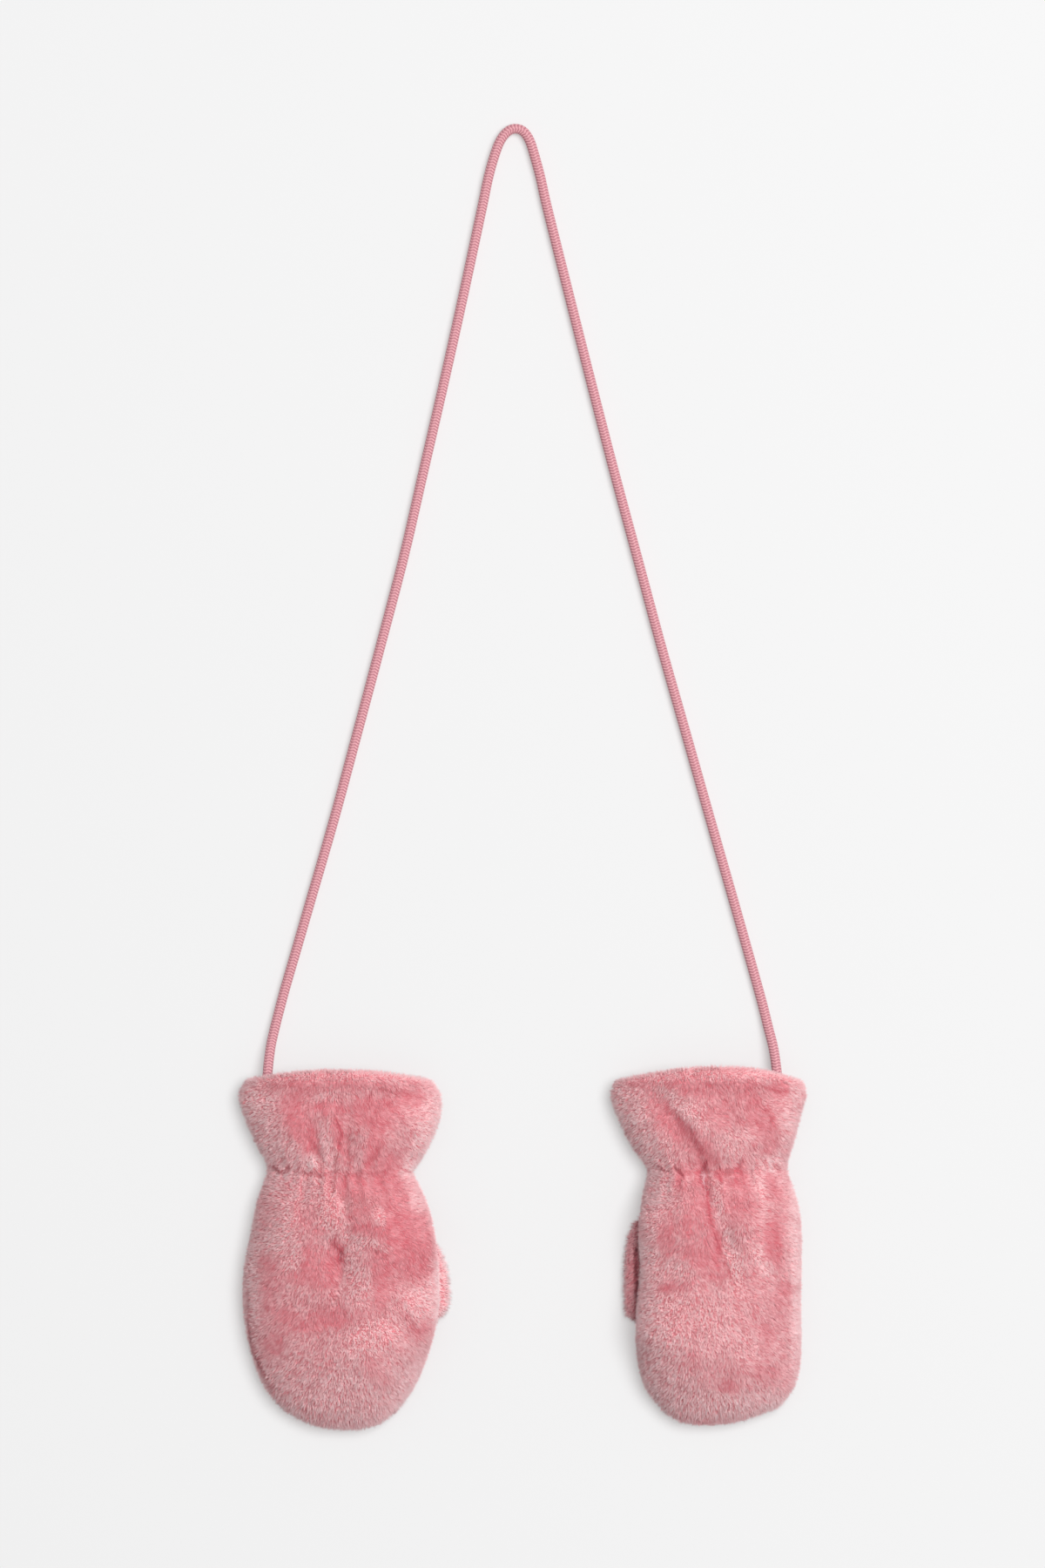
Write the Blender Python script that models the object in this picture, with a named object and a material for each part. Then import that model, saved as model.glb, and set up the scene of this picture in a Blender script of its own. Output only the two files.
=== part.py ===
"""A pair of baby mittens in soft plush, joined by a braided neck cord and laid out palm down.

Every mitten is sewn from four pieces: a back and a palm, which both run from the fingertips through
the elasticated wrist to the turned hem of the cuff, and the inner and the outer half of the thumb,
which lies folded under the palm. The cord is sewn in at both cuffs.

X runs across the pair, +Y from the fingertips to the cuffs and the cord, and +Z up from the surface
that everything lies on. The tables are in millimetres, and the meshes are made in metres.
"""

import math
from collections import namedtuple

import bmesh
import bpy
import numpy as np

MM = 0.001

# The plush: a knitted ground of 1 mm with 3 mm of pile, which is pressed down where the hand lies on it
WALL = 4.0
THUMB_WALL = 3.4
SEAM_GAP = 0.3

# The mitten's form
SEAM_HEIGHT = 5.0  # the side seam above the surface
EDGE_ROUND = 7.0  # how far in from its seam the palm comes down onto the surface
HEM_LIP = 1.6  # how far the folded edge of the hem bulges past the last section
DOME_SIDE = 3.0  # the back rises as one side of a rounded box: a steeper side with a higher power
THUMB_ROUND = 4.0
THUMB_STACK = 2 * THUMB_WALL + SEAM_GAP
PALM_LIFT = THUMB_STACK + SEAM_GAP  # the palm where it lies over the thumb
LIFT_MARGIN = 1.5
LIFT_RAMP = 11.0  # the stretch in which it comes down again round the thumb
BELLY_RAMP = 34.0  # the back bridges the thumb in a longer slope than its seam does
RAMP_SHIFT = 2.0  # the upper side of a sloping wall of even thickness lies this much further out
LEAST_WALL = 1.8  # under the deepest crease

BACK_COLUMNS = 44
PALM_COLUMNS = 24
THUMB_COLUMNS = 12
TIP_SHIFT_SECTIONS = 3.0  # how many sections before the fingertips the inside starts to shorten

# A row for each cross-section, from the mouth to the fingertips. edge_y is where it meets the two
# outlines, left and right, bow how far its middle lies towards the fingertips, crown the height of
# the back over its seams, and steps the number of mesh rows to the next section. skew moves the lowest
# place of the bow to the right, and with a higher power than a parabola's 2 the bow is squarer.
Section = namedtuple("Section", "edge_y left right bow crown steps skew power", defaults=(0, 2.3))

LEFT_SECTIONS = (
    Section(67.9, -39.9, 38.6, -4.4, 10.8, 1),  # mouth
    Section(64.0, -41.9, 41.5, -4.2, 11.5, 1),
    Section(60.4, -42.1, 42.3, -4.0, 10.1, 1),  # hem stitching
    Section(54.4, -39.8, 41.8, -3.0, 11.6, 2),
    Section(42.8, -34.9, 37.4, -1.0, 11.4, 2),
    Section(35.5, -30.6, 33.1, 0.6, 10.2, 1),
    Section(31.3, -29.9, 29.5, 1.2, 8.9, 1),  # elastic
    Section(27.4, -31.5, 32.0, 1.2, 10.4, 1),
    Section(20.0, -34.3, 35.6, 0.8, 12.0, 2),
    Section(8.3, -36.6, 39.2, 0.0, 12.8, 3),
    Section(-9.0, -40.0, 41.2, 0.0, 12.8, 3),
    Section(-23.4, -40.3, 41.3, 0.8, 13.0, 3),
    Section(-37.8, -38.5, 38.5, 3.2, 12.6, 3),
    Section(-52.2, -33.8, 33.1, 6.0, 11.6, 3),
    Section(-60.6, -29.0, 28.6, 7.4, 10.6, 3, 0.06, 2.5),
    Section(-67.0, -22.5, 22.9, 8.2, 9.6, 0, 0.12, 2.7),  # fingertips
)
RIGHT_SECTIONS = (
    Section(67.6, -39.4, 39.7, -6.1, 10.8, 1, 0.12),  # mouth
    Section(63.4, -40.6, 40.9, -5.6, 11.5, 1, 0.12),
    Section(59.4, -39.9, 40.0, -5.0, 10.1, 1, 0.10),  # hem stitching
    Section(54.4, -37.8, 38.2, -3.8, 11.6, 2),
    Section(42.8, -32.4, 35.3, -1.0, 11.4, 2),
    Section(36.0, -27.2, 33.0, 0.5, 10.2, 1),
    Section(32.4, -24.7, 32.4, 1.0, 8.9, 1),  # elastic
    Section(28.4, -25.6, 33.8, 1.0, 10.4, 1),
    Section(20.5, -27.6, 36.8, 0.6, 12.0, 2),
    Section(8.3, -29.2, 38.5, 0.0, 12.8, 3),
    Section(-9.0, -28.4, 38.5, 0.0, 12.8, 3),
    Section(-23.4, -29.8, 38.3, 0.8, 13.0, 3),
    Section(-37.8, -30.2, 38.5, 3.6, 12.6, 3),
    Section(-49.3, -28.6, 37.8, 6.0, 11.6, 3),
    Section(-58.5, -25.5, 34.9, 7.0, 10.6, 3, -0.14, 2.5),
    Section(-66.0, -18.8, 28.7, 7.3, 9.6, 0, -0.27, 2.7),  # fingertips
)

# The thumb from its root to its tip, with the same columns. The outer half starts further up, in the
# slit of the palm.
LEFT_THUMB_ROOT = Section(14.6, 14.4, 29.6, -4.2, 0, 2)
RIGHT_THUMB_ROOT = Section(17.6, -21.6, -6.4, -4.2, 0, 2)
LEFT_THUMB = (
    Section(8.0, 13.0, 34.0, -1.8, 0, 2),
    Section(0.0, 13.6, 40.4, 0.0, 0, 2),
    Section(-10.0, 16.0, 44.3, 0.0, 0, 2),
    Section(-20.0, 19.0, 45.0, 1.0, 0, 4),
    Section(-26.2, 22.6, 43.8, 6.3, 0, 0),
)
RIGHT_THUMB = (
    Section(11.0, -29.8, -5.0, -1.8, 0, 2),
    Section(3.0, -33.4, -5.4, 0.0, 0, 2),
    Section(-7.0, -34.3, -7.6, 0.0, 0, 2),
    Section(-18.0, -34.5, -10.4, 1.0, 0, 4),
    Section(-27.6, -34.0, -13.2, 4.4, 0, 0),
)

# The slit in the palm that the thumb is sewn into, opened to the shape of an eye
Slit = namedtuple("Slit", "x y half_length to_cuff to_fingers")
LEFT_SLIT = Slit(22.0, 14.5, 9.5, 4.5, 4.4)
RIGHT_SLIT = Slit(-14.0, 17.5, 9.5, 4.5, 4.4)

# The gathers that the elastic makes: across is the place between the two seams, from -1 to 1, lean
# how far a gather drifts sideways for each millimetre along it
Gather = namedtuple("Gather", "across depth width to_cuff to_fingers lean")
LEFT_GATHERS = (
    Gather(-0.90, 1.0, 1.5, 8.0, 6.0, 0.00),
    Gather(-0.76, 1.5, 1.6, 9.0, 5.0, -0.10),
    Gather(-0.62, 1.2, 1.4, 13.0, 8.0, 0.05),
    Gather(-0.45, 1.6, 1.6, 10.0, 13.0, 0.00),
    Gather(-0.29, 1.3, 1.5, 18.0, 9.0, 0.05),
    Gather(-0.12, 1.7, 1.6, 12.0, 6.0, 0.00),
    Gather(0.04, 1.4, 1.4, 24.0, 20.0, 0.00),
    Gather(0.20, 1.7, 1.6, 9.0, 7.0, -0.05),
    Gather(0.37, 1.3, 1.5, 16.0, 9.0, 0.05),
    Gather(0.53, 1.6, 1.5, 8.0, 12.0, 0.00),
    Gather(0.70, 1.1, 1.4, 14.0, 6.0, 0.10),
    Gather(0.86, 1.2, 1.5, 7.0, 8.0, 0.00),
)
RIGHT_GATHERS = (
    Gather(-0.88, 1.2, 1.5, 7.0, 8.0, 0.00),
    Gather(-0.71, 1.7, 1.5, 9.0, 9.0, -0.05),
    Gather(-0.55, 1.4, 1.4, 12.0, 12.0, 0.05),
    Gather(-0.38, 1.7, 1.6, 9.0, 8.0, 0.00),
    Gather(-0.20, 1.9, 1.7, 7.0, 10.0, -0.10),
    Gather(-0.03, 1.2, 1.4, 15.0, 6.0, 0.00),
    Gather(0.13, 1.5, 1.5, 9.0, 9.0, 0.05),
    Gather(0.29, 1.2, 1.4, 18.0, 12.0, 0.00),
    Gather(0.46, 1.6, 1.6, 8.0, 7.0, 0.00),
    Gather(0.62, 1.1, 1.4, 13.0, 14.0, 0.05),
    Gather(0.78, 1.5, 1.5, 8.0, 7.0, 0.00),
    Gather(0.91, 0.9, 1.4, 6.0, 6.0, 0.00),
)
PALM_GATHERS = tuple(
    Gather(place, 0.9 + 0.4 * math.sin(7 * place), 1.8, 9.0, 8.0, 0.0)
    for place in np.linspace(-0.84, 0.84, 8)
)

# The larger creases (depth above 0) and swells (below 0), each from one point to another
Fold = namedtuple("Fold", "x1 y1 x2 y2 depth width")
LEFT_FOLDS = (
    Fold(-4.0, 1.0, 0.5, -9.0, 2.0, 5.0),  # dimple in the middle of the hand
    Fold(-15.0, 22.0, -5.0, 6.0, 0.8, 6.0),
    Fold(2.0, 26.0, 4.0, 2.0, 0.8, 4.5),
    Fold(16.0, 16.0, 24.0, 0.0, -0.9, 8.0),
    Fold(-24.0, 8.0, -26.0, -16.0, -0.9, 9.0),
    Fold(26.0, -12.0, 14.0, -22.0, 0.9, 6.0),
    Fold(-20.0, -24.0, 4.0, -30.0, 0.7, 7.0),
    Fold(24.0, -30.0, 31.0, -36.0, 0.9, 4.5),
    Fold(4.0, -40.0, 14.0, -52.0, -0.8, 11.0),
    Fold(2.0, 56.0, 3.0, 40.0, 0.9, 4.0),  # down the middle of the cuff
    Fold(-24.0, 54.0, -18.0, 38.0, -0.9, 6.0),
    Fold(24.0, 54.0, 17.0, 40.0, -0.9, 6.0),
    Fold(-10.0, 52.0, -7.0, 38.0, 0.7, 4.0),
)
RIGHT_FOLDS = (
    Fold(-3.0, 30.0, 7.0, 2.0, 1.9, 3.6),  # the long crease from the elastic down the hand
    Fold(7.0, 2.0, 14.0, -22.0, 1.2, 4.6),
    Fold(-13.0, 26.0, -6.0, -6.0, -0.8, 7.0),
    Fold(19.0, 26.0, 21.0, -4.0, -0.8, 7.0),
    Fold(28.0, 24.0, 31.0, 0.0, 0.8, 4.0),
    Fold(-24.0, -4.0, -14.0, -10.0, 0.8, 5.0),
    Fold(-4.0, -50.0, 6.0, -58.0, -0.7, 9.0),
    Fold(24.0, -40.0, 33.0, -44.0, 0.7, 5.0),
    Fold(-21.0, 62.0, -5.0, 37.0, 1.3, 4.6),  # the slanting fold of the cuff
    Fold(-29.0, 56.0, -18.0, 40.0, -0.9, 5.5),
    Fold(-10.0, 60.0, 3.0, 42.0, -0.9, 6.0),
    Fold(20.0, 54.0, 18.0, 38.0, 0.7, 5.0),
)

Mitten = namedtuple("Mitten", "name x sections thumb thumb_root slit gathers folds")
MITTENS = (
    Mitten("left", -75.24, LEFT_SECTIONS, LEFT_THUMB, LEFT_THUMB_ROOT, LEFT_SLIT,
           LEFT_GATHERS, LEFT_FOLDS),
    Mitten("right", 76.68, RIGHT_SECTIONS, RIGHT_THUMB, RIGHT_THUMB_ROOT, RIGHT_SLIT,
           RIGHT_GATHERS, RIGHT_FOLDS),
)
ELASTIC_SECTION = 6

# The neck cord. It lies on the surface, and rises over the palm's hem into each cuff.
CORD_DIAMETER = 4.2
CORD_ON_SURFACE = CORD_DIAMETER / 2 + 0.15
CORD_IN_CUFF = WALL + SEAM_GAP + CORD_DIAMETER / 2
CORD_STEP = 12.6  # between mesh points along the legs
CORD_BEND_STEP = 4.0  # round the top bend
CORD_BEND_Y = 440.0  # where the bend begins
CORD_RISE_STEP = 7.0  # and where it rises into the cuffs
CORD_RISE_Y = 95.0  # where the rise begins

# Places along it in turn, from the end inside the left cuff to the end inside the right one
CordPoint = namedtuple("CordPoint", "x y z")
CORD_ROUTE = (
    CordPoint(-106.6, 57.0, CORD_IN_CUFF),
    CordPoint(-105.9, 64.0, CORD_IN_CUFF),
    CordPoint(-105.2, 71.5, CORD_IN_CUFF),
    CordPoint(-104.4, 79.5, 5.0),
    CordPoint(-103.0, 87.5, 3.2),
    CordPoint(-98.6, 104.8, CORD_ON_SURFACE),
    CordPoint(-93.4, 122.8, CORD_ON_SURFACE),
    CordPoint(-88.2, 140.8, CORD_ON_SURFACE),
    CordPoint(-77.8, 176.8, CORD_ON_SURFACE),
    CordPoint(-68.1, 212.8, CORD_ON_SURFACE),
    CordPoint(-58.5, 248.8, CORD_ON_SURFACE),
    CordPoint(-49.1, 284.8, CORD_ON_SURFACE),
    CordPoint(-40.8, 320.8, CORD_ON_SURFACE),
    CordPoint(-32.5, 356.8, CORD_ON_SURFACE),
    CordPoint(-24.5, 392.8, CORD_ON_SURFACE),
    CordPoint(-16.8, 428.8, CORD_ON_SURFACE),
    CordPoint(-14.1, 441.7, CORD_ON_SURFACE),
    CordPoint(-11.6, 450.6, CORD_ON_SURFACE),
    CordPoint(-9.2, 456.8, CORD_ON_SURFACE),
    CordPoint(-6.2, 460.6, CORD_ON_SURFACE),
    CordPoint(-2.9, 461.8, CORD_ON_SURFACE),
    CordPoint(0.4, 460.6, CORD_ON_SURFACE),
    CordPoint(3.0, 456.8, CORD_ON_SURFACE),
    CordPoint(5.0, 450.6, CORD_ON_SURFACE),
    CordPoint(7.4, 441.7, CORD_ON_SURFACE),
    CordPoint(10.3, 428.8, CORD_ON_SURFACE),
    CordPoint(19.3, 392.8, CORD_ON_SURFACE),
    CordPoint(28.4, 356.8, CORD_ON_SURFACE),
    CordPoint(37.7, 320.8, CORD_ON_SURFACE),
    CordPoint(47.4, 284.8, CORD_ON_SURFACE),
    CordPoint(57.1, 248.8, CORD_ON_SURFACE),
    CordPoint(67.3, 212.8, CORD_ON_SURFACE),
    CordPoint(77.5, 176.8, CORD_ON_SURFACE),
    CordPoint(87.8, 140.8, CORD_ON_SURFACE),
    CordPoint(97.9, 104.8, CORD_ON_SURFACE),
    CordPoint(101.4, 91.0, 3.0),
    CordPoint(103.6, 82.0, 4.9),
    CordPoint(104.8, 73.5, CORD_IN_CUFF),
    CordPoint(105.4, 67.0, CORD_IN_CUFF),
    CordPoint(105.8, 59.0, CORD_IN_CUFF),
)

# Colours are linear
PLUSH_PINK = (0.62, 0.25, 0.27)
CORD_PINK = (0.56, 0.19, 0.22)


def between(rows, position):
    """The rows' columns at positions between the rows, on a smooth curve through them."""
    rows = np.array(rows, float)
    low = np.clip(np.floor(position).astype(int), 0, len(rows) - 2)
    part = (position - low)[:, None]
    # One more row beyond each end, so that the curve goes on turning up to its last row
    ahead = 3 * (rows[0] - rows[1]) + rows[2]
    beyond = 3 * (rows[-1] - rows[-2]) + rows[-3]
    rows = np.stack([ahead, *rows, beyond])
    before, start, end, after = (rows[low + k] for k in range(4))
    return 0.5 * (
        2 * start
        + (end - before) * part
        + (2 * before - 5 * start + 4 * end - after) * part**2
        + (3 * start - before - 3 * end + after) * part**3
    )


def mesh_rows(sections):
    """Where the mesh has its rows, counted in sections, closer together towards the tip."""
    places = []
    for number, section in enumerate(sections[:-1]):
        parts = np.arange(section.steps) / section.steps
        if number == len(sections) - 2:
            parts = np.sin(parts * math.pi / 2)
        places.extend(number + parts)
    return np.array([*places, len(sections) - 1.0])


def mesh_columns(count):
    """Where the mesh has its columns, from -1 to 1, closer together towards the seams."""
    even = np.linspace(-1, 1, count + 1)
    return 0.55 * even + 0.45 * np.sin(even * math.pi / 2)


def laid_grid(sections, places, columns, inset):
    """x and y of a panel's mesh points, and the outline that they reach, both moved in by inset."""
    last = len(sections) - 1
    shorten = np.clip((places - last) / TIP_SHIFT_SECTIONS + 1, 0, 1)[:, None] ** 2
    row = Section(*(v[:, None] for v in between(sections, places).T))
    middle, half = (row.left + row.right) / 2, (row.right - row.left) / 2 - inset
    x = middle + half * columns
    skewed = np.abs(columns - row.skew * (1 - columns**2))
    y = row.edge_y - row.bow * (1 - skewed**row.power) + inset * shorten
    return x, y


def outline_of(sections, inset, closed):
    """A panel's outline: down its left edge, along its tip and up its right edge."""
    places = np.linspace(0, len(sections) - 1, 8 * len(sections))
    across = np.linspace(-1, 1, 33)
    x, y = laid_grid(sections, places, across, inset)
    down = np.stack([x[:, 0], y[:, 0]], 1)
    tip = np.stack([x[-1], y[-1]], 1)
    up = np.stack([x[::-1, -1], y[::-1, -1]], 1)
    root = np.stack([x[0, ::-1], y[0, ::-1]], 1)
    return np.concatenate([down, tip[1:], up[1:]] + ([root[1:]] if closed else []))


def distance_to(line, x, y):
    """How far the points x, y are from a line of straight pieces."""
    start, along = line[:-1], np.diff(line, axis=0)
    length2 = np.maximum((along**2).sum(1), 1e-12)
    dx = x[..., None] - start[:, 0]
    dy = y[..., None] - start[:, 1]
    part = np.clip((dx * along[:, 0] + dy * along[:, 1]) / length2, 0, 1)
    return np.hypot(dx - part * along[:, 0], dy - part * along[:, 1]).min(-1)


def inside(line, x, y):
    """Whether the points x, y lie within a closed line."""
    x1, y1 = line[:-1].T
    x2, y2 = line[1:].T
    spans = (y1 > y[..., None]) != (y2 > y[..., None])
    rise = np.where(y2 == y1, 1, y2 - y1)
    crossing = x1 + (y[..., None] - y1) * (x2 - x1) / rise
    return (spans & (x[..., None] < crossing)).sum(-1) % 2 == 1


def lift_over_thumb(mitten, x, y, shift=0.0, ramp=LIFT_RAMP):
    """How high the palm's underside lies over the surface."""
    thumb = outline_of(mitten.thumb, 0, closed=True)
    away = np.where(inside(thumb, x, y), 0, distance_to(thumb, x, y)) - LIFT_MARGIN - shift
    rest = np.clip(1 - away / ramp, 0, 1)
    return PALM_LIFT * rest**2 * (3 - 2 * rest)


def seam_height(mitten, places, columns, ramp=LIFT_RAMP):
    """The height of the side seams, carried across the mitten from one to the other."""
    x, y = laid_grid(mitten.sections, places, np.array([-1.0, 1.0]), 0)
    left, right = (SEAM_HEIGHT + lift_over_thumb(mitten, x, y, ramp=ramp)).T[:, :, None]
    return left + (right - left) * (columns + 1) / 2


def gathered(sections, gathers, places, columns, x, y):
    """How deep the gathers of the elastic lie under the smooth surface."""
    wrist = sections[ELASTIC_SECTION]
    depth = np.zeros_like(x)
    edge = between(sections, places)
    middle, half = (edge[:, 1] + edge[:, 2]) / 2, (edge[:, 2] - edge[:, 1]) / 2
    for g in gathers:
        along = y - (wrist.edge_y - wrist.bow * (1 - g.across**2))
        line = (middle + half * g.across)[:, None] + g.lean * along
        reach = np.where(along > 0, g.to_cuff, g.to_fingers)
        near = np.exp(-((along / reach) ** 2)) * (1 - 0.25 * np.exp(-((along / 2.0) ** 2)))
        depth += g.depth * near * np.exp(-(((x - line) / g.width) ** 2))
    return depth


def folded(folds, x, y):
    """How deep the larger creases lie under the smooth surface."""
    depth = np.zeros_like(x)
    for f in folds:
        away = distance_to(np.array([(f.x1, f.y1), (f.x2, f.y2)]), x, y)
        depth += f.depth * np.exp(-((away / f.width) ** 2))
    return depth


def dome(mitten, places, columns, inset):
    """The back's upper side (inset 0) or its lining side, without creases."""
    x, y = laid_grid(mitten.sections, places, columns, inset)
    away = distance_to(outline_of(mitten.sections, inset, closed=False), x, y)
    edge = between(mitten.sections, places)
    half = ((edge[:, 2] - edge[:, 1]) / 2 - inset)[:, None]
    rise = np.sqrt(1 - (1 - np.clip(away / half, 0, 1)) ** DOME_SIDE)
    seam = seam_height(mitten, places, columns) + SEAM_GAP / 2
    belly = seam_height(mitten, places, columns, BELLY_RAMP) - seam
    return x, y, seam + (belly + edge[:, 4][:, None] - inset) * rise, rise


def back_points(mitten):
    places, columns = mesh_rows(mitten.sections), mesh_columns(BACK_COLUMNS)
    x, y, z, rise = dome(mitten, places, columns, 0)
    inner = np.stack(dome(mitten, places[::2], columns[::2], WALL)[:3], 2)
    smooth = z.copy()
    z = z - rise * gathered(mitten.sections, mitten.gathers, places, columns, x, y)
    z = z - rise * folded(mitten.folds, x, y)
    z = np.maximum(z, smooth - (WALL - LEAST_WALL) * rise)
    return np.stack([x, y, z], 2), inner


def palm_side(mitten, places, columns, inset, height, shift):
    """One side of the palm: flat but for its edges and the thumb under it."""
    x, y = laid_grid(mitten.sections, places, columns, inset)
    away = distance_to(outline_of(mitten.sections, inset, closed=False), x, y)
    down = np.sqrt(1 - (1 - np.clip(away / EDGE_ROUND, 0, 1)) ** 2)
    edge = seam_height(mitten, places, columns) - SEAM_GAP / 2
    lie = lift_over_thumb(mitten, x, y, shift) + height
    return x, y, edge * (1 - down) + lie * down, down


def palm_points(mitten):
    # The palm's mouth is straighter than the back's, which hides it
    mouth = mitten.sections[0]
    sections = (mouth._replace(bow=0.7 * mouth.bow), *mitten.sections[1:])
    mitten = mitten._replace(sections=sections)
    places, columns = mesh_rows(sections), mesh_columns(PALM_COLUMNS)
    x, y, z, down = palm_side(mitten, places, columns, 0, 0, 0)
    z = z + down * gathered(sections, PALM_GATHERS, places, columns, x, y)
    x2, y2, z2, down = palm_side(mitten, places[::2], columns[::2], WALL, WALL, RAMP_SHIFT)
    ceiling = dome(mitten, places[::2], columns[::2], WALL)[2] - SEAM_GAP
    return np.stack([x, y, z], 2), np.stack([x2, y2, np.minimum(z2, ceiling)], 2)


def thumb_points(sections, side, seam):
    """Both sides of one half of the thumb: side -1 lies on the surface, side 1 under the palm."""
    places, columns = mesh_rows(sections), mesh_columns(THUMB_COLUMNS)
    x, y = laid_grid(sections, places, columns, 0)
    away = distance_to(outline_of(sections, 0, closed=True), x, y)
    bulge = np.sqrt(1 - (1 - np.clip(away / THUMB_ROUND, 0, 1)) ** 2)
    outer = seam + side * (0.8 + (THUMB_WALL - 0.8) * bulge)
    inner_x, inner_y = x[::2, ::2], y[::2, ::2]
    inner = np.stack([inner_x, inner_y, np.full_like(inner_x, seam)], 2)
    return np.stack([x, y, outer], 2), inner


def rim_faces(fine, coarse):
    """Joins two edges of the outer grid to one of the inner grid, the same way on every panel."""
    first, middle, last = fine
    near, far = coarse
    return [(first, middle, near), (middle, far, near), (middle, last, far)]


def closed_wall(outer, inner, lip):
    """Points and faces of a wall: a fine outer grid, an inner grid of every second point, and a rim.

    At the first row the rim bulges out by lip, as the folded edge of a hem.
    """
    rows, columns = outer.shape[0] - 1, outer.shape[1] - 1
    first_inner = outer.shape[0] * outer.shape[1]
    first_lip = first_inner + inner.shape[0] * inner.shape[1]
    points = [outer.reshape(-1, 3), inner.reshape(-1, 3)]

    def o(row, column):
        return row * (columns + 1) + column

    def i(row, column):
        return first_inner + row * (columns // 2 + 1) + column

    faces = [
        (o(r, c), o(r, c + 1), o(r + 1, c + 1), o(r + 1, c))
        for r in range(rows)
        for c in range(columns)
    ]
    faces += [
        (i(r, c), i(r, c + 1), i(r + 1, c + 1), i(r + 1, c))
        for r in range(rows // 2)
        for c in range(columns // 2)
    ]
    for k in range(rows // 2):
        for c in (0, columns):
            edge = (o(2 * k, c), o(2 * k + 1, c), o(2 * k + 2, c))
            faces += rim_faces(edge, (i(k, c // 2), i(k + 1, c // 2)))
    start = [o(0, c) for c in range(columns + 1)]
    if lip:
        middle = (outer[0, ::2] + inner[0]) / 2 + (0, lip, 0)
        between_them = (middle[:-1] + middle[1:]) / 2
        ridge = np.empty((columns + 1, 3))
        ridge[::2], ridge[1::2] = middle, between_them
        points.append(ridge)
        ridge = [first_lip + c for c in range(columns + 1)]
        faces += [
            (start[c], start[c + 1], ridge[c + 1], ridge[c]) for c in range(columns)
        ]
        faces += [(start[0], ridge[0], i(0, 0)), (start[-1], ridge[-1], i(0, columns // 2))]
        start = ridge
    for k in range(columns // 2):
        faces += rim_faces(start[2 * k : 2 * k + 3], (i(0, k), i(0, k + 1)))
        tip = (o(rows, 2 * k), o(rows, 2 * k + 1), o(rows, 2 * k + 2))
        faces += rim_faces(tip, (i(rows // 2, k), i(rows // 2, k + 1)))
    return np.concatenate(points), faces


def cloth_material(name, colour):
    material = bpy.data.materials.new(name)
    material.use_nodes = True
    shader = material.node_tree.nodes["Principled BSDF"]
    shader.inputs["Base Color"].default_value = (*colour, 1)
    shader.inputs["Roughness"].default_value = 0.9
    shader.inputs["Metallic"].default_value = 0.0
    return material


def add_wall(name, points, faces, x):
    """A panel as an object of its own, in its place on the surface."""
    mesh = bpy.data.meshes.new(name)
    mesh.from_pydata(((points + (x, 0, 0)) * MM).tolist(), [], faces)
    mesh.materials.append(cloth_material(name, PLUSH_PINK))
    panel = bpy.data.objects.new(name, mesh)
    bpy.context.collection.objects.link(panel)
    face_outwards(mesh)
    mesh.shade_smooth()
    return panel


def face_outwards(mesh):
    shape = bmesh.new()
    shape.from_mesh(mesh)
    bmesh.ops.recalc_face_normals(shape, faces=shape.faces)
    shape.to_mesh(mesh)
    shape.free()


def add_slit_cutter(mitten):
    """The eye-shaped prism that opens the palm for the thumb."""
    slit = mitten.slit
    across = np.linspace(-1, 1, 13)
    upper = [(slit.x + slit.half_length * s, slit.y + slit.to_cuff * (1 - s * s)) for s in across]
    lower = [(slit.x + slit.half_length * s, slit.y - slit.to_fingers * (1 - s * s)) for s in across]
    ring = upper + lower[-2:0:-1]
    count = len(ring)
    points = [(x, y, z) for z in (-5.0, PALM_LIFT + 2 * WALL) for x, y in ring]
    faces = [tuple(range(count)), tuple(range(count, 2 * count))]
    faces += [(k, (k + 1) % count, count + (k + 1) % count, count + k) for k in range(count)]
    cutter = add_wall(f"{mitten.name}_slit_cutter", np.array(points), faces, mitten.x)
    cutter.hide_render = True
    cutter.display_type = "WIRE"
    return cutter


def add_mitten(mitten):
    name = mitten.name
    add_wall(f"{name}_back", *closed_wall(*back_points(mitten), HEM_LIP), mitten.x)
    palm = add_wall(f"{name}_palm", *closed_wall(*palm_points(mitten), HEM_LIP), mitten.x)
    slit = palm.modifiers.new("thumb slit", "BOOLEAN")
    slit.object = add_slit_cutter(mitten)
    outer = thumb_points((mitten.thumb_root, *mitten.thumb), -1, THUMB_WALL)
    add_wall(f"{name}_thumb_outer", *closed_wall(*outer, 0), mitten.x)
    inner = thumb_points(mitten.thumb, 1, THUMB_WALL + SEAM_GAP)
    add_wall(f"{name}_thumb_inner", *closed_wall(*inner, 0), mitten.x)


def cord_points():
    """Mesh points on the smooth curve through the route, closer together where it bends."""
    fine = between(CORD_ROUTE, np.linspace(0, len(CORD_ROUTE) - 1, 4000))
    run = np.concatenate([[0], np.cumsum(np.linalg.norm(np.diff(fine, axis=0), axis=1))])
    y = fine[1:, 1]
    step = np.where(y > CORD_BEND_Y, CORD_BEND_STEP, CORD_STEP)
    step = np.where(y < CORD_RISE_Y, CORD_RISE_STEP, step)
    count = np.concatenate([[0], np.cumsum(np.diff(run) / step)])
    wanted = np.linspace(0, count[-1], round(count[-1]) + 1)
    return np.stack([np.interp(wanted, count, axis) for axis in fine.T], 1)


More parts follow.
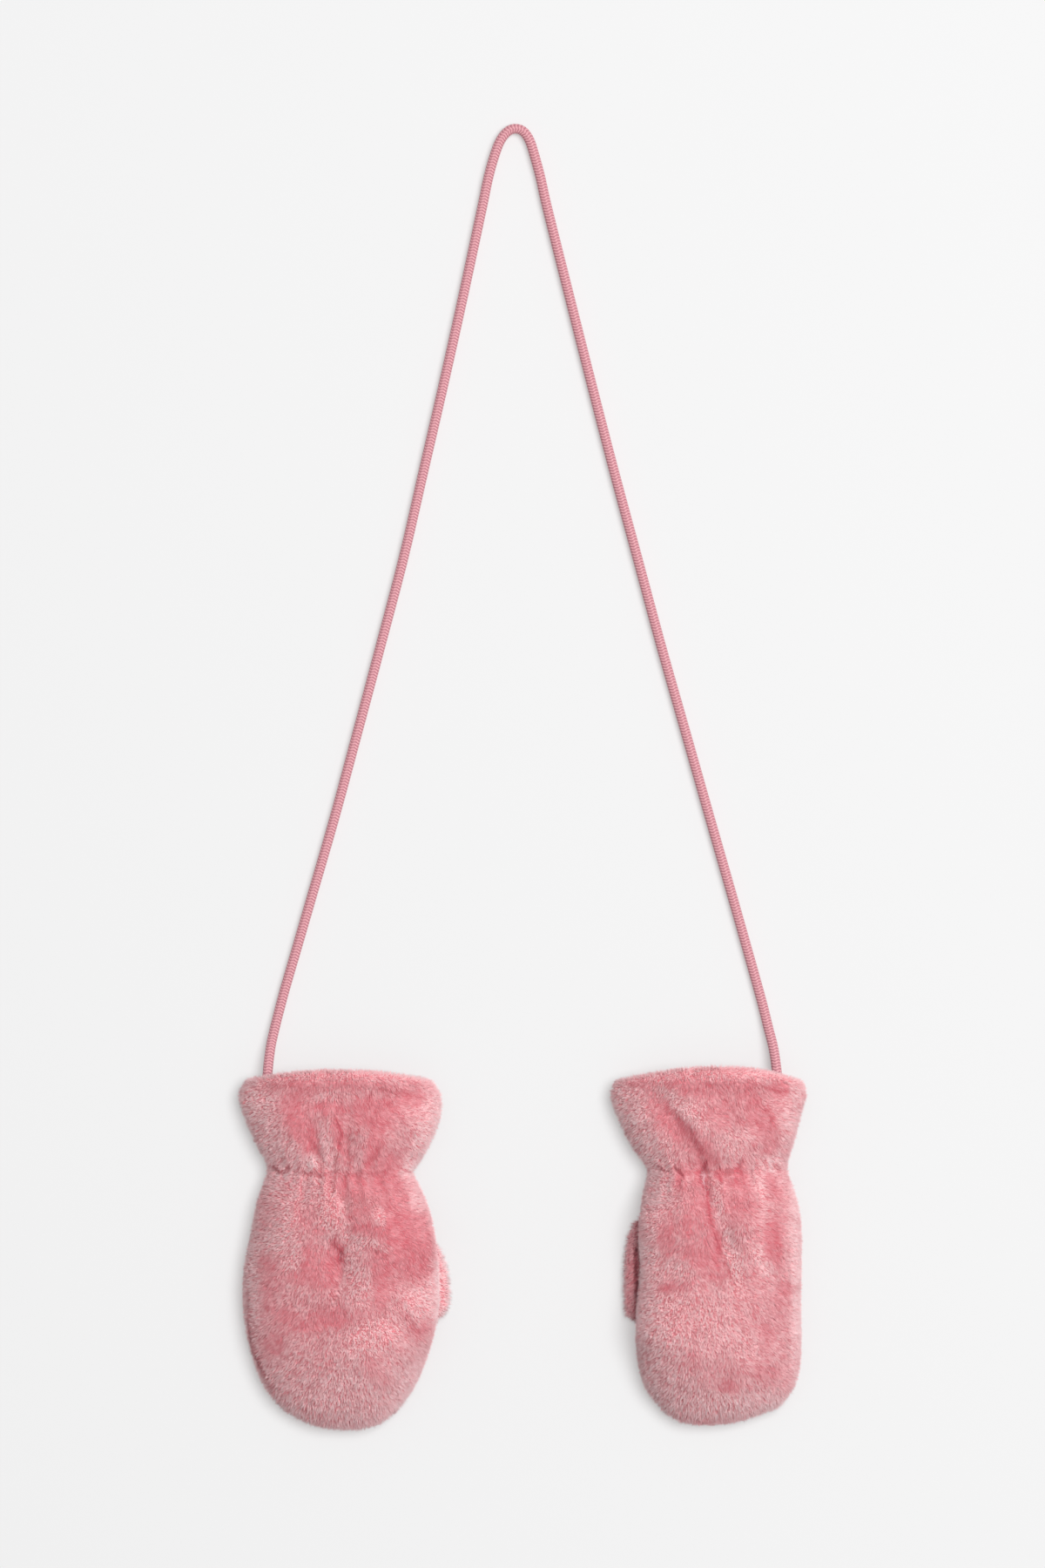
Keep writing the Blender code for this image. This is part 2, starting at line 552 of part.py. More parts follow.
def add_cord():
    points = cord_points()
    curve = bpy.data.curves.new("neck_cord", "CURVE")
    curve.dimensions = "3D"
    curve.bevel_depth = CORD_DIAMETER / 2 * MM
    curve.bevel_resolution = 2
    curve.use_fill_caps = True
    route = curve.splines.new("POLY")
    route.points.add(len(points) - 1)
    for point, (x, y, z) in zip(route.points, points * MM, strict=True):
        point.co = (x, y, z, 1)
    curve.materials.append(cloth_material("neck_cord", CORD_PINK))
    cord = bpy.data.objects.new("neck_cord", curve)
    bpy.context.collection.objects.link(cord)


for old in list(bpy.data.objects):
    bpy.data.objects.remove(old)
for pair_half in MITTENS:
    add_mitten(pair_half)
add_cord()
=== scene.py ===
import math
from collections import namedtuple

import bmesh
import bpy
import numpy as np
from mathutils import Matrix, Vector, noise
from mathutils.bvhtree import BVHTree


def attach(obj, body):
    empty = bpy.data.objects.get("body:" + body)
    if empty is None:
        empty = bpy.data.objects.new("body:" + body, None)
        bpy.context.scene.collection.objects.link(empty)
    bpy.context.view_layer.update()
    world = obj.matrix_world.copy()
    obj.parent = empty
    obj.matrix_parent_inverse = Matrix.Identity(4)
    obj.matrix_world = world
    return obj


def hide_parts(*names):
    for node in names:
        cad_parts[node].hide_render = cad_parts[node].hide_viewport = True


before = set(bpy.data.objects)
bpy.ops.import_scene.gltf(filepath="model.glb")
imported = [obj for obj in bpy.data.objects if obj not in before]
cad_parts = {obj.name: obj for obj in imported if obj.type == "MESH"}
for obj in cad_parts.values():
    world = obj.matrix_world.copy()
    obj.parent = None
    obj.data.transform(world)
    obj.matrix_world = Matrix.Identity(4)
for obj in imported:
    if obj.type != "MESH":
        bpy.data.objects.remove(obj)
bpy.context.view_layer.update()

MM = 0.001


# ---------------------------------------------------------------- camera, light and floor
# The pair lies on a plain pale table, under a camera that looks straight down on it. A broad soft
# lamp stands to the upper right, and the whole room gives back some light. Lengths are in metres
# here, and in millimetres in the sections that follow.

VIEW_HEIGHT = 0.648
VIEW_CENTRE_Y = 0.1912
CAMERA_HEIGHT = 3.0
SENSOR = 36.0

camera_data = bpy.data.cameras.new("camera")
camera_data.sensor_width = SENSOR
camera_data.lens = SENSOR * CAMERA_HEIGHT / VIEW_HEIGHT
camera_data.clip_end = 20
camera = bpy.data.objects.new("camera", camera_data)
camera.location = (0, VIEW_CENTRE_Y, CAMERA_HEIGHT)
bpy.context.collection.objects.link(camera)
bpy.context.scene.camera = camera
bpy.context.scene.view_settings.view_transform = "Standard"

LAMP_PLACE = (1.2, 0.85, 3.5)
LAMP_SIZE = 2.8
LAMP_POWER = 150
ROOM_LIGHT = 0.36

lamp_data = bpy.data.lights.new("lamp", "AREA")
lamp_data.shape = "DISK"
lamp_data.size = LAMP_SIZE
lamp_data.energy = LAMP_POWER
lamp = bpy.data.objects.new("lamp", lamp_data)
lamp.location = LAMP_PLACE
lamp.rotation_euler = (-Vector(LAMP_PLACE)).to_track_quat("-Z", "Y").to_euler()
bpy.context.collection.objects.link(lamp)

room = bpy.data.worlds.new("room")
room.use_nodes = True
room.node_tree.nodes["Background"].inputs["Color"].default_value = (1, 1, 1, 1)
room.node_tree.nodes["Background"].inputs["Strength"].default_value = ROOM_LIGHT
bpy.context.scene.world = room


class Value:
    """A node's output, whose arithmetic adds Math nodes."""

    def __init__(self, finish, socket):
        self.finish, self.socket = finish, socket

    def math(self, operation, *others):
        settings = {"operation": operation}
        node = self.finish.node("ShaderNodeMath", settings, dict(enumerate(others)))
        return Value(self.finish, node.outputs[0])

    def __add__(self, other):
        return self.math("ADD", self, other)

    def __sub__(self, other):
        return self.math("SUBTRACT", self, other)

    def __rsub__(self, other):
        return self.math("SUBTRACT", other, self)

    def __mul__(self, other):
        return self.math("MULTIPLY", self, other)

    __radd__ = __add__
    __rmul__ = __mul__


class Finish:
    """A material that is put together from nodes."""

    def __init__(self, name, **constants):
        self.material = bpy.data.materials.new(name)
        self.material.use_nodes = True
        self.tree = self.material.node_tree
        self.surface = self.tree.nodes["Principled BSDF"]
        for socket, value in constants.items():
            self.surface.inputs[socket.replace("_", " ")].default_value = value

    def node(self, kind, settings, inputs):
        node = self.tree.nodes.new(kind)
        for name, value in settings.items():
            setattr(node, name, value)
        for name, value in inputs.items():
            if isinstance(value, Value):
                self.tree.links.new(value.socket, node.inputs[name])
            else:
                node.inputs[name].default_value = value
        return node

    def attribute(self, name):
        """The three parts of a vector that is stored with the mesh."""
        stored = self.node("ShaderNodeAttribute", {"attribute_name": name}, {})
        parts = {"Vector": Value(self, stored.outputs["Vector"])}
        node = self.node("ShaderNodeSeparateXYZ", {}, parts)
        return [Value(self, output) for output in node.outputs]

    def grain(self, scale, detail, stretch=(1, 1, 1)):
        """Noise on the object's own coordinates."""
        place = self.node("ShaderNodeTexCoord", {}, {}).outputs["Object"]
        inputs = {"Vector": Value(self, place), "Scale": stretch}
        mapped = self.node("ShaderNodeMapping", {}, inputs).outputs[0]
        inputs = {"Vector": Value(self, mapped), "Scale": scale, "Detail": detail}
        return Value(self, self.node("ShaderNodeTexNoise", {}, inputs).outputs[0])

    def mix(self, share, first, second):
        inputs = {0: share, 6: first, 7: second}
        node = self.node("ShaderNodeMix", {"data_type": "RGBA"}, inputs)
        return Value(self, node.outputs[2])

    def set(self, socket, value):
        self.tree.links.new(value.socket, self.surface.inputs[socket])

    def bump(self, height, distance, strength=1.0):
        inputs = {"Height": height, "Distance": distance, "Strength": strength}
        self.set("Normal", Value(self, self.node("ShaderNodeBump", {}, inputs).outputs[0]))


TABLE_SIZE = 24.0
TABLE_GREY = (0.43, 0.433, 0.436, 1)
FLECK_GREY = (0.4, 0.4, 0.4, 1)
FLECK_SHARE = 0.05
TABLE_GLOW = (0.366, 0.3615, 0.3595, 1)  # the table glows, a painted light that thins the shadows on it and lights the mittens from below

table_finish = Finish(
    "matt table", Roughness=0.9, Emission_Color=TABLE_GLOW, Emission_Strength=1.0
)
fleck = table_finish.grain(scale=400, detail=2)
table_finish.set("Base Color", table_finish.mix(fleck * FLECK_SHARE, TABLE_GREY, FLECK_GREY))
shape = bmesh.new()
bmesh.ops.create_grid(shape, x_segments=1, y_segments=1, size=TABLE_SIZE / 2)
table_mesh = bpy.data.meshes.new("table")
shape.to_mesh(table_mesh)
shape.free()
table_mesh.materials.append(table_finish.material)
table = bpy.data.objects.new("table", table_mesh)
bpy.context.collection.objects.link(table)


# ---------------------------------------------------------------- neck cord
# A round polyester braid of eight wales, each a row of slanting stitches that leans the other way
# from the rows beside it. Both ends are caught in the side seam inside the cuffs.

CORD_DIAMETER = 4.2
ON_TABLE = 2.25  # the height of its centre line on the table
IN_CUFF = 6.4  # and between the two walls of a cuff
CORD_SIDES = 24
CORD_STEP = 0.3
CURVE_POINTS = 6000  # on the curve through the route, before they are spaced evenly
WALES = 8
WALE_SHIFT = 0.25  # sets the points nearly even about the middle of their wale
STITCH = 1.2
STITCH_SLANT = 0.28  # how far a stitch runs on, in stitches, over half the width of its wale
STITCH_ROUNDNESS = 1.5
STITCH_RELIEF = 0.18
WALE_RELIEF = 0.18
STITCH_RISE = 0.05  # how far the stitches stand out over the cord's mean diameter
# The crowns of the stitches take CORD_LIGHT, and the grooves between the stitches and wales
# CORD_GROOVE_SHADE, a painted shade in the recesses
CORD_LIGHT = (0.86, 0.44, 0.475, 1)
CORD_GROOVE_SHADE = (0.35, 0.105, 0.14, 1)

# A point that gives no height lies on the table
CordPoint = namedtuple("CordPoint", "x y z", defaults=[ON_TABLE])
CORD_ROUTE = (
    CordPoint(-106.6, 57.0, IN_CUFF),
    CordPoint(-105.9, 64.0, IN_CUFF),
    CordPoint(-105.2, 71.5, IN_CUFF),
    CordPoint(-104.4, 79.5, 5.0),
    CordPoint(-103.0, 87.5, 3.2),
    CordPoint(-98.6, 104.8),
    CordPoint(-93.4, 122.8),
    CordPoint(-88.2, 140.8),
    CordPoint(-77.8, 176.8),
    CordPoint(-68.1, 212.8),
    CordPoint(-58.5, 248.8),
    CordPoint(-49.1, 284.8),
    CordPoint(-40.8, 320.8),
    CordPoint(-32.5, 356.8),
    CordPoint(-24.5, 392.8),
    CordPoint(-16.8, 428.8),
    CordPoint(-14.1, 441.7),
    CordPoint(-11.6, 450.6),
    CordPoint(-9.2, 456.8),
    CordPoint(-6.2, 460.6),
    CordPoint(-2.9, 461.8),
    CordPoint(0.4, 460.6),
    CordPoint(3.0, 456.8),
    CordPoint(5.0, 450.6),
    CordPoint(7.4, 441.7),
    CordPoint(10.3, 428.8),
    CordPoint(19.3, 392.8),
    CordPoint(28.4, 356.8),
    CordPoint(37.7, 320.8),
    CordPoint(47.4, 284.8),
    CordPoint(57.1, 248.8),
    CordPoint(67.3, 212.8),
    CordPoint(77.5, 176.8),
    CordPoint(87.8, 140.8),
    CordPoint(97.9, 104.8),
    CordPoint(101.4, 91.0, 3.0),
    CordPoint(103.6, 82.0, 4.9),
    CordPoint(104.8, 73.5, IN_CUFF),
    CordPoint(105.4, 67.0, IN_CUFF),
    CordPoint(105.8, 59.0, IN_CUFF),
)


def smooth_line(route, count):
    """Points on the smooth curve through a route."""
    rows = np.array(route, float)
    place = np.linspace(0, len(rows) - 1, count)
    low = np.clip(np.floor(place).astype(int), 0, len(rows) - 2)
    part = (place - low)[:, None]
    ahead = 3 * (rows[0] - rows[1]) + rows[2]
    beyond = 3 * (rows[-1] - rows[-2]) + rows[-3]
    rows = np.stack([ahead, *rows, beyond])
    before, start, end, after = (rows[low + k] for k in range(4))
    return 0.5 * (
        2 * start
        + (end - before) * part
        + (2 * before - 5 * start + 4 * end - after) * part**2
        + (3 * start - before - 3 * end + after) * part**3
    )


def spaced(line, step):
    """The same line with its points evenly apart."""
    run = np.concatenate([[0], np.cumsum(np.linalg.norm(np.diff(line, axis=0), axis=1))])
    wanted = np.linspace(0, run[-1], round(run[-1] / step) + 1)
    return np.stack([np.interp(wanted, run, axis) for axis in line.T], 1)


cord_line = spaced(smooth_line(CORD_ROUTE, CURVE_POINTS), CORD_STEP)
guide = bpy.data.curves.new("cord_guide", "CURVE")
guide.dimensions = "3D"
guide.twist_mode = "Z_UP"
guide.bevel_depth = CORD_DIAMETER / 2 * MM
guide.bevel_resolution = (CORD_SIDES - 4) // 2  # which gives a ring of CORD_SIDES points
route = guide.splines.new("POLY")
route.points.add(len(cord_line) - 1)
route.points.foreach_set("co", np.c_[cord_line * MM, np.ones(len(cord_line))].ravel())
guide_object = bpy.data.objects.new("cord_guide", guide)
bpy.context.collection.objects.link(guide_object)
bpy.context.view_layer.update()
seen = guide_object.evaluated_get(bpy.context.evaluated_depsgraph_get())
cord_mesh = bpy.data.meshes.new_from_object(seen)
bpy.data.objects.remove(guide_object)
cord_mesh.name = "neck_cord_braid"
cord_mesh.materials.clear()

points = np.empty(len(cord_mesh.vertices) * 3, np.float32)
cord_mesh.vertices.foreach_get("co", points)
points = points.reshape(len(cord_line), CORD_SIDES, 3) / MM
along = (np.arange(len(cord_line)) * CORD_STEP)[:, None]
around = (np.arange(CORD_SIDES) / CORD_SIDES * WALES)[None, :]
wale = np.floor(around)
across = 2 * (around - wale) - 1 + WALE_SHIFT
lean = np.where(wale % 2 == 0, 1, -1)
turn = along / STITCH + STITCH_SLANT * lean * across
stitch = np.abs(np.cos(np.pi * turn)) ** STITCH_ROUNDNESS
crown = np.clip(1 - across**2, 0, 1) ** 0.5
sunk = STITCH_RELIEF * (1 - stitch) + WALE_RELIEF * (1 - crown) - STITCH_RISE
centre = cord_line[:, None, :]
radial = (points - centre) / (CORD_DIAMETER / 2)
points = points - radial * sunk[..., None]
cord_mesh.vertices.foreach_set("co", (points * MM).astype(np.float32).ravel())
# how far each point lies on the crown of a stitch, which sets the painted shade in the grooves
tone = np.stack([stitch * crown, 0 * sunk, 0 * sunk], 2).reshape(-1, 3)  # only its x is used
stored = cord_mesh.attributes.new("braid", "FLOAT_VECTOR", "POINT")
stored.data.foreach_set("vector", tone.astype(np.float32).ravel())
shape = bmesh.new()
shape.from_mesh(cord_mesh)
bmesh.ops.holes_fill(shape, edges=shape.edges, sides=CORD_SIDES)
bmesh.ops.recalc_face_normals(shape, faces=shape.faces)
shape.to_mesh(cord_mesh)
shape.free()
cord_mesh.shade_smooth()

cord_finish = Finish(
    "braided cord", Roughness=0.62, Sheen_Weight=0.25, Sheen_Roughness=0.4, Specular_IOR_Level=0.35
)
# painted shade: the cord is darker where its surface sinks between stitches and wales
raised = cord_finish.attribute("braid")[0]
cord_finish.set("Base Color", cord_finish.mix(raised, CORD_GROOVE_SHADE, CORD_LIGHT))
cord_finish.bump(cord_finish.grain(scale=2600, detail=2), distance=0.00008, strength=0.5)
cord_mesh.materials.append(cord_finish.material)
cord = bpy.data.objects.new("neck_cord_braid", cord_mesh)
bpy.context.collection.objects.link(cord)
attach(cord, "root")
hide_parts("neck_cord")



# ---------------------------------------------------------------- backs
# The back of each mitten is one piece of plush, from the fingertips to the hem that is turned in
# at the mouth. Its dense short pile is brushed every way: where it lies flat it shows deep pink,
# and where it stands up in tufts it looks frosted.

MITTEN_X = {"left": -75.24, "right": 76.68}  # from here its creases and patches are placed
WRIST_Y = 30.0
CUFF_LIP_Y = WRIST_Y + 20  # the lip of the mouth lies beyond this

# The creases that show in the pile, which sink the ground under it and are painted darker in it, a
# painted shade, while the swells are painted lighter, a painted light: depth above 0 for a crease
# and below 0 for a swell
Crease = namedtuple("Crease", "x1 y1 x2 y2 depth width")
CREASES = {
    "left": (
        Crease(-2.8, 1.6, 0.8, -0.9, 1.0, 1.1),  # dimple in the middle of the hand
        Crease(0.8, -0.9, 0.2, -5.0, 1.5, 1.4),
        Crease(13.4, -0.4, 18.8, -2.4, 0.45, 1.2),
        Crease(-2.0, 30.4, -4.4, 24.0, 0.8, 1.1),
        Crease(-4.4, 24.0, -3.0, 17.0, 0.6, 1.8),
        Crease(-28.8, 32.6, -24.4, 30.5, 1.5, 0.8),  # puckers of the elastic
        Crease(-23.6, 30.6, -21.8, 32.6, 1.4, 0.7),
        Crease(-15.6, 30.8, -12.6, 29.6, 1.3, 0.7),
        Crease(-9.6, 31.4, -7.4, 28.6, 1.1, 0.8),
        Crease(2.4, 30.4, 2.0, 25.0, 0.7, 0.9),
        Crease(9.6, 31.6, 10.4, 26.4, 0.5, 0.9),
        Crease(16.0, 31.0, 18.0, 25.0, 0.4, 1.0),
        Crease(22.6, 31.2, 25.0, 26.2, 0.4, 1.0),
        Crease(27.6, 31.6, 29.6, 31.0, 1.1, 0.7),
        Crease(-22.0, 31.2, 4.0, 30.4, 0.55, 0.9),
        Crease(4.0, 30.4, 27.0, 31.4, 0.5, 0.9),
        Crease(-11.6, 44.8, -8.4, 36.8, 0.7, 1.8),
        Crease(0.2, 46.0, -0.6, 40.0, 0.7, 1.2),
        Crease(-0.6, 40.0, -1.8, 31.2, 0.8, 1.1),
        Crease(16.0, 39.4, 12.4, 32.8, 0.55, 1.3),
        Crease(4.8, 39.0, 5.4, 32.4, 0.6, 1.2),
        Crease(-7.2, 44.8, -3.8, 33.0, -0.8, 1.7),  # swells between the gathers
        Crease(-14.0, 37.4, -11.0, 33.6, -0.9, 1.9),
        Crease(8.6, 38.0, 9.0, 33.0, -0.6, 1.7),
        Crease(-1.0, 52.2, 1.0, 46.6, 0.7, 0.8),  # gaps in the tufts of the cuff
        Crease(1.0, 55.6, 4.4, 56.2, 0.45, 0.5),
        Crease(2.4, 52.6, 6.8, 52.0, 0.6, 0.5),
        Crease(1.4, 49.8, 6.0, 49.2, 0.7, 0.5),
        Crease(1.6, 46.6, 8.0, 46.8, 0.7, 0.5),
        Crease(4.0, 44.4, 6.8, 44.1, 0.8, 0.5),
        Crease(-37.0, 64.6, -20.0, 66.8, 0.5, 1.3),  # the foot of the rolled hem
        Crease(14.0, 65.4, 34.0, 62.2, 0.55, 1.1),
        Crease(-38.7, -18.0, -38.2, -29.3, 0.8, 0.6),  # the side seam, which rolls in here
        Crease(-38.2, -29.3, -37.5, -37.6, 1.2, 0.6),
        Crease(-37.5, -37.6, -35.8, -44.8, 1.4, 0.6),
        Crease(-35.8, -44.8, -32.5, -52.0, 1.4, 0.6),
        Crease(-32.5, -52.0, -28.4, -58.6, 1.0, 0.6),
        Crease(28.0, -29.8, 32.6, -35.2, 0.5, 1.3),
        Crease(24.0, 10.0, 38.0, -10.0, 0.4, 4.0),
    ),
    "right": (
        Crease(-2.7, 30.0, -0.7, 23.6, 1.3, 0.8),  # the long crease down the hand
        Crease(-0.7, 23.6, 1.3, 10.8, 1.0, 0.9),
        Crease(1.3, 10.8, 3.7, 2.8, 0.8, 1.1),
        Crease(3.7, 2.8, 10.9, -16.4, 0.75, 1.4),
        Crease(10.9, -16.4, 12.8, -31.0, 0.5, 1.3),
        Crease(1.4, 24.0, 3.8, 8.0, -0.5, 1.6),
        Crease(-14.7, 55.6, -1.1, 37.2, 0.5, 1.6),  # the slanting fold of the cuff
        Crease(-11.0, 57.0, 2.0, 40.0, -0.5, 2.0),
        Crease(-21.6, 32.8, -17.6, 30.4, 1.5, 0.7),  # puckers of the elastic
        Crease(-17.4, 30.6, -14.6, 33.6, 1.0, 0.7),
        Crease(-13.9, 32.4, -10.9, 30.2, 1.5, 0.7),
        Crease(-10.9, 30.4, -13.0, 26.0, 0.5, 1.0),
        Crease(-8.0, 36.0, -7.0, 31.6, 0.8, 0.8),
        Crease(-1.4, 35.2, -2.7, 30.6, 1.3, 0.7),
        Crease(4.5, 31.4, 4.9, 26.6, 0.7, 0.9),
        Crease(11.3, 31.6, 12.1, 26.4, 0.7, 0.9),
        Crease(14.6, 35.6, 12.0, 32.2, 1.0, 0.9),
        Crease(20.4, 34.6, 21.0, 30.0, 0.7, 1.0),
        Crease(28.4, 33.2, 31.0, 31.6, 1.1, 0.8),
        Crease(-16.0, 31.4, 20.0, 31.4, 0.5, 0.9),
        Crease(-37.0, 66.0, -14.0, 67.4, 0.5, 1.2),  # the foot of the rolled hem
        Crease(19.7, 67.4, 27.7, 64.4, 0.7, 0.9),
        Crease(27.7, 64.4, 33.3, 64.4, 0.6, 0.8),
        Crease(24.6, 58.0, 27.0, 52.0, 0.45, 1.5),
        Crease(-22.6, -16.0, -12.0, -16.6, 0.5, 1.8),
        Crease(26.0, 22.0, 29.0, -2.0, 0.4, 3.0),
        Crease(-30.4, -1.0, -30.2, -21.0, 1.9, 0.8),  # where the thumb runs in under the hand
        Crease(-37.8, -12.8, -34.4, -13.3, 1.6, 0.5),  # the end of the thumb's seam
    ),
}

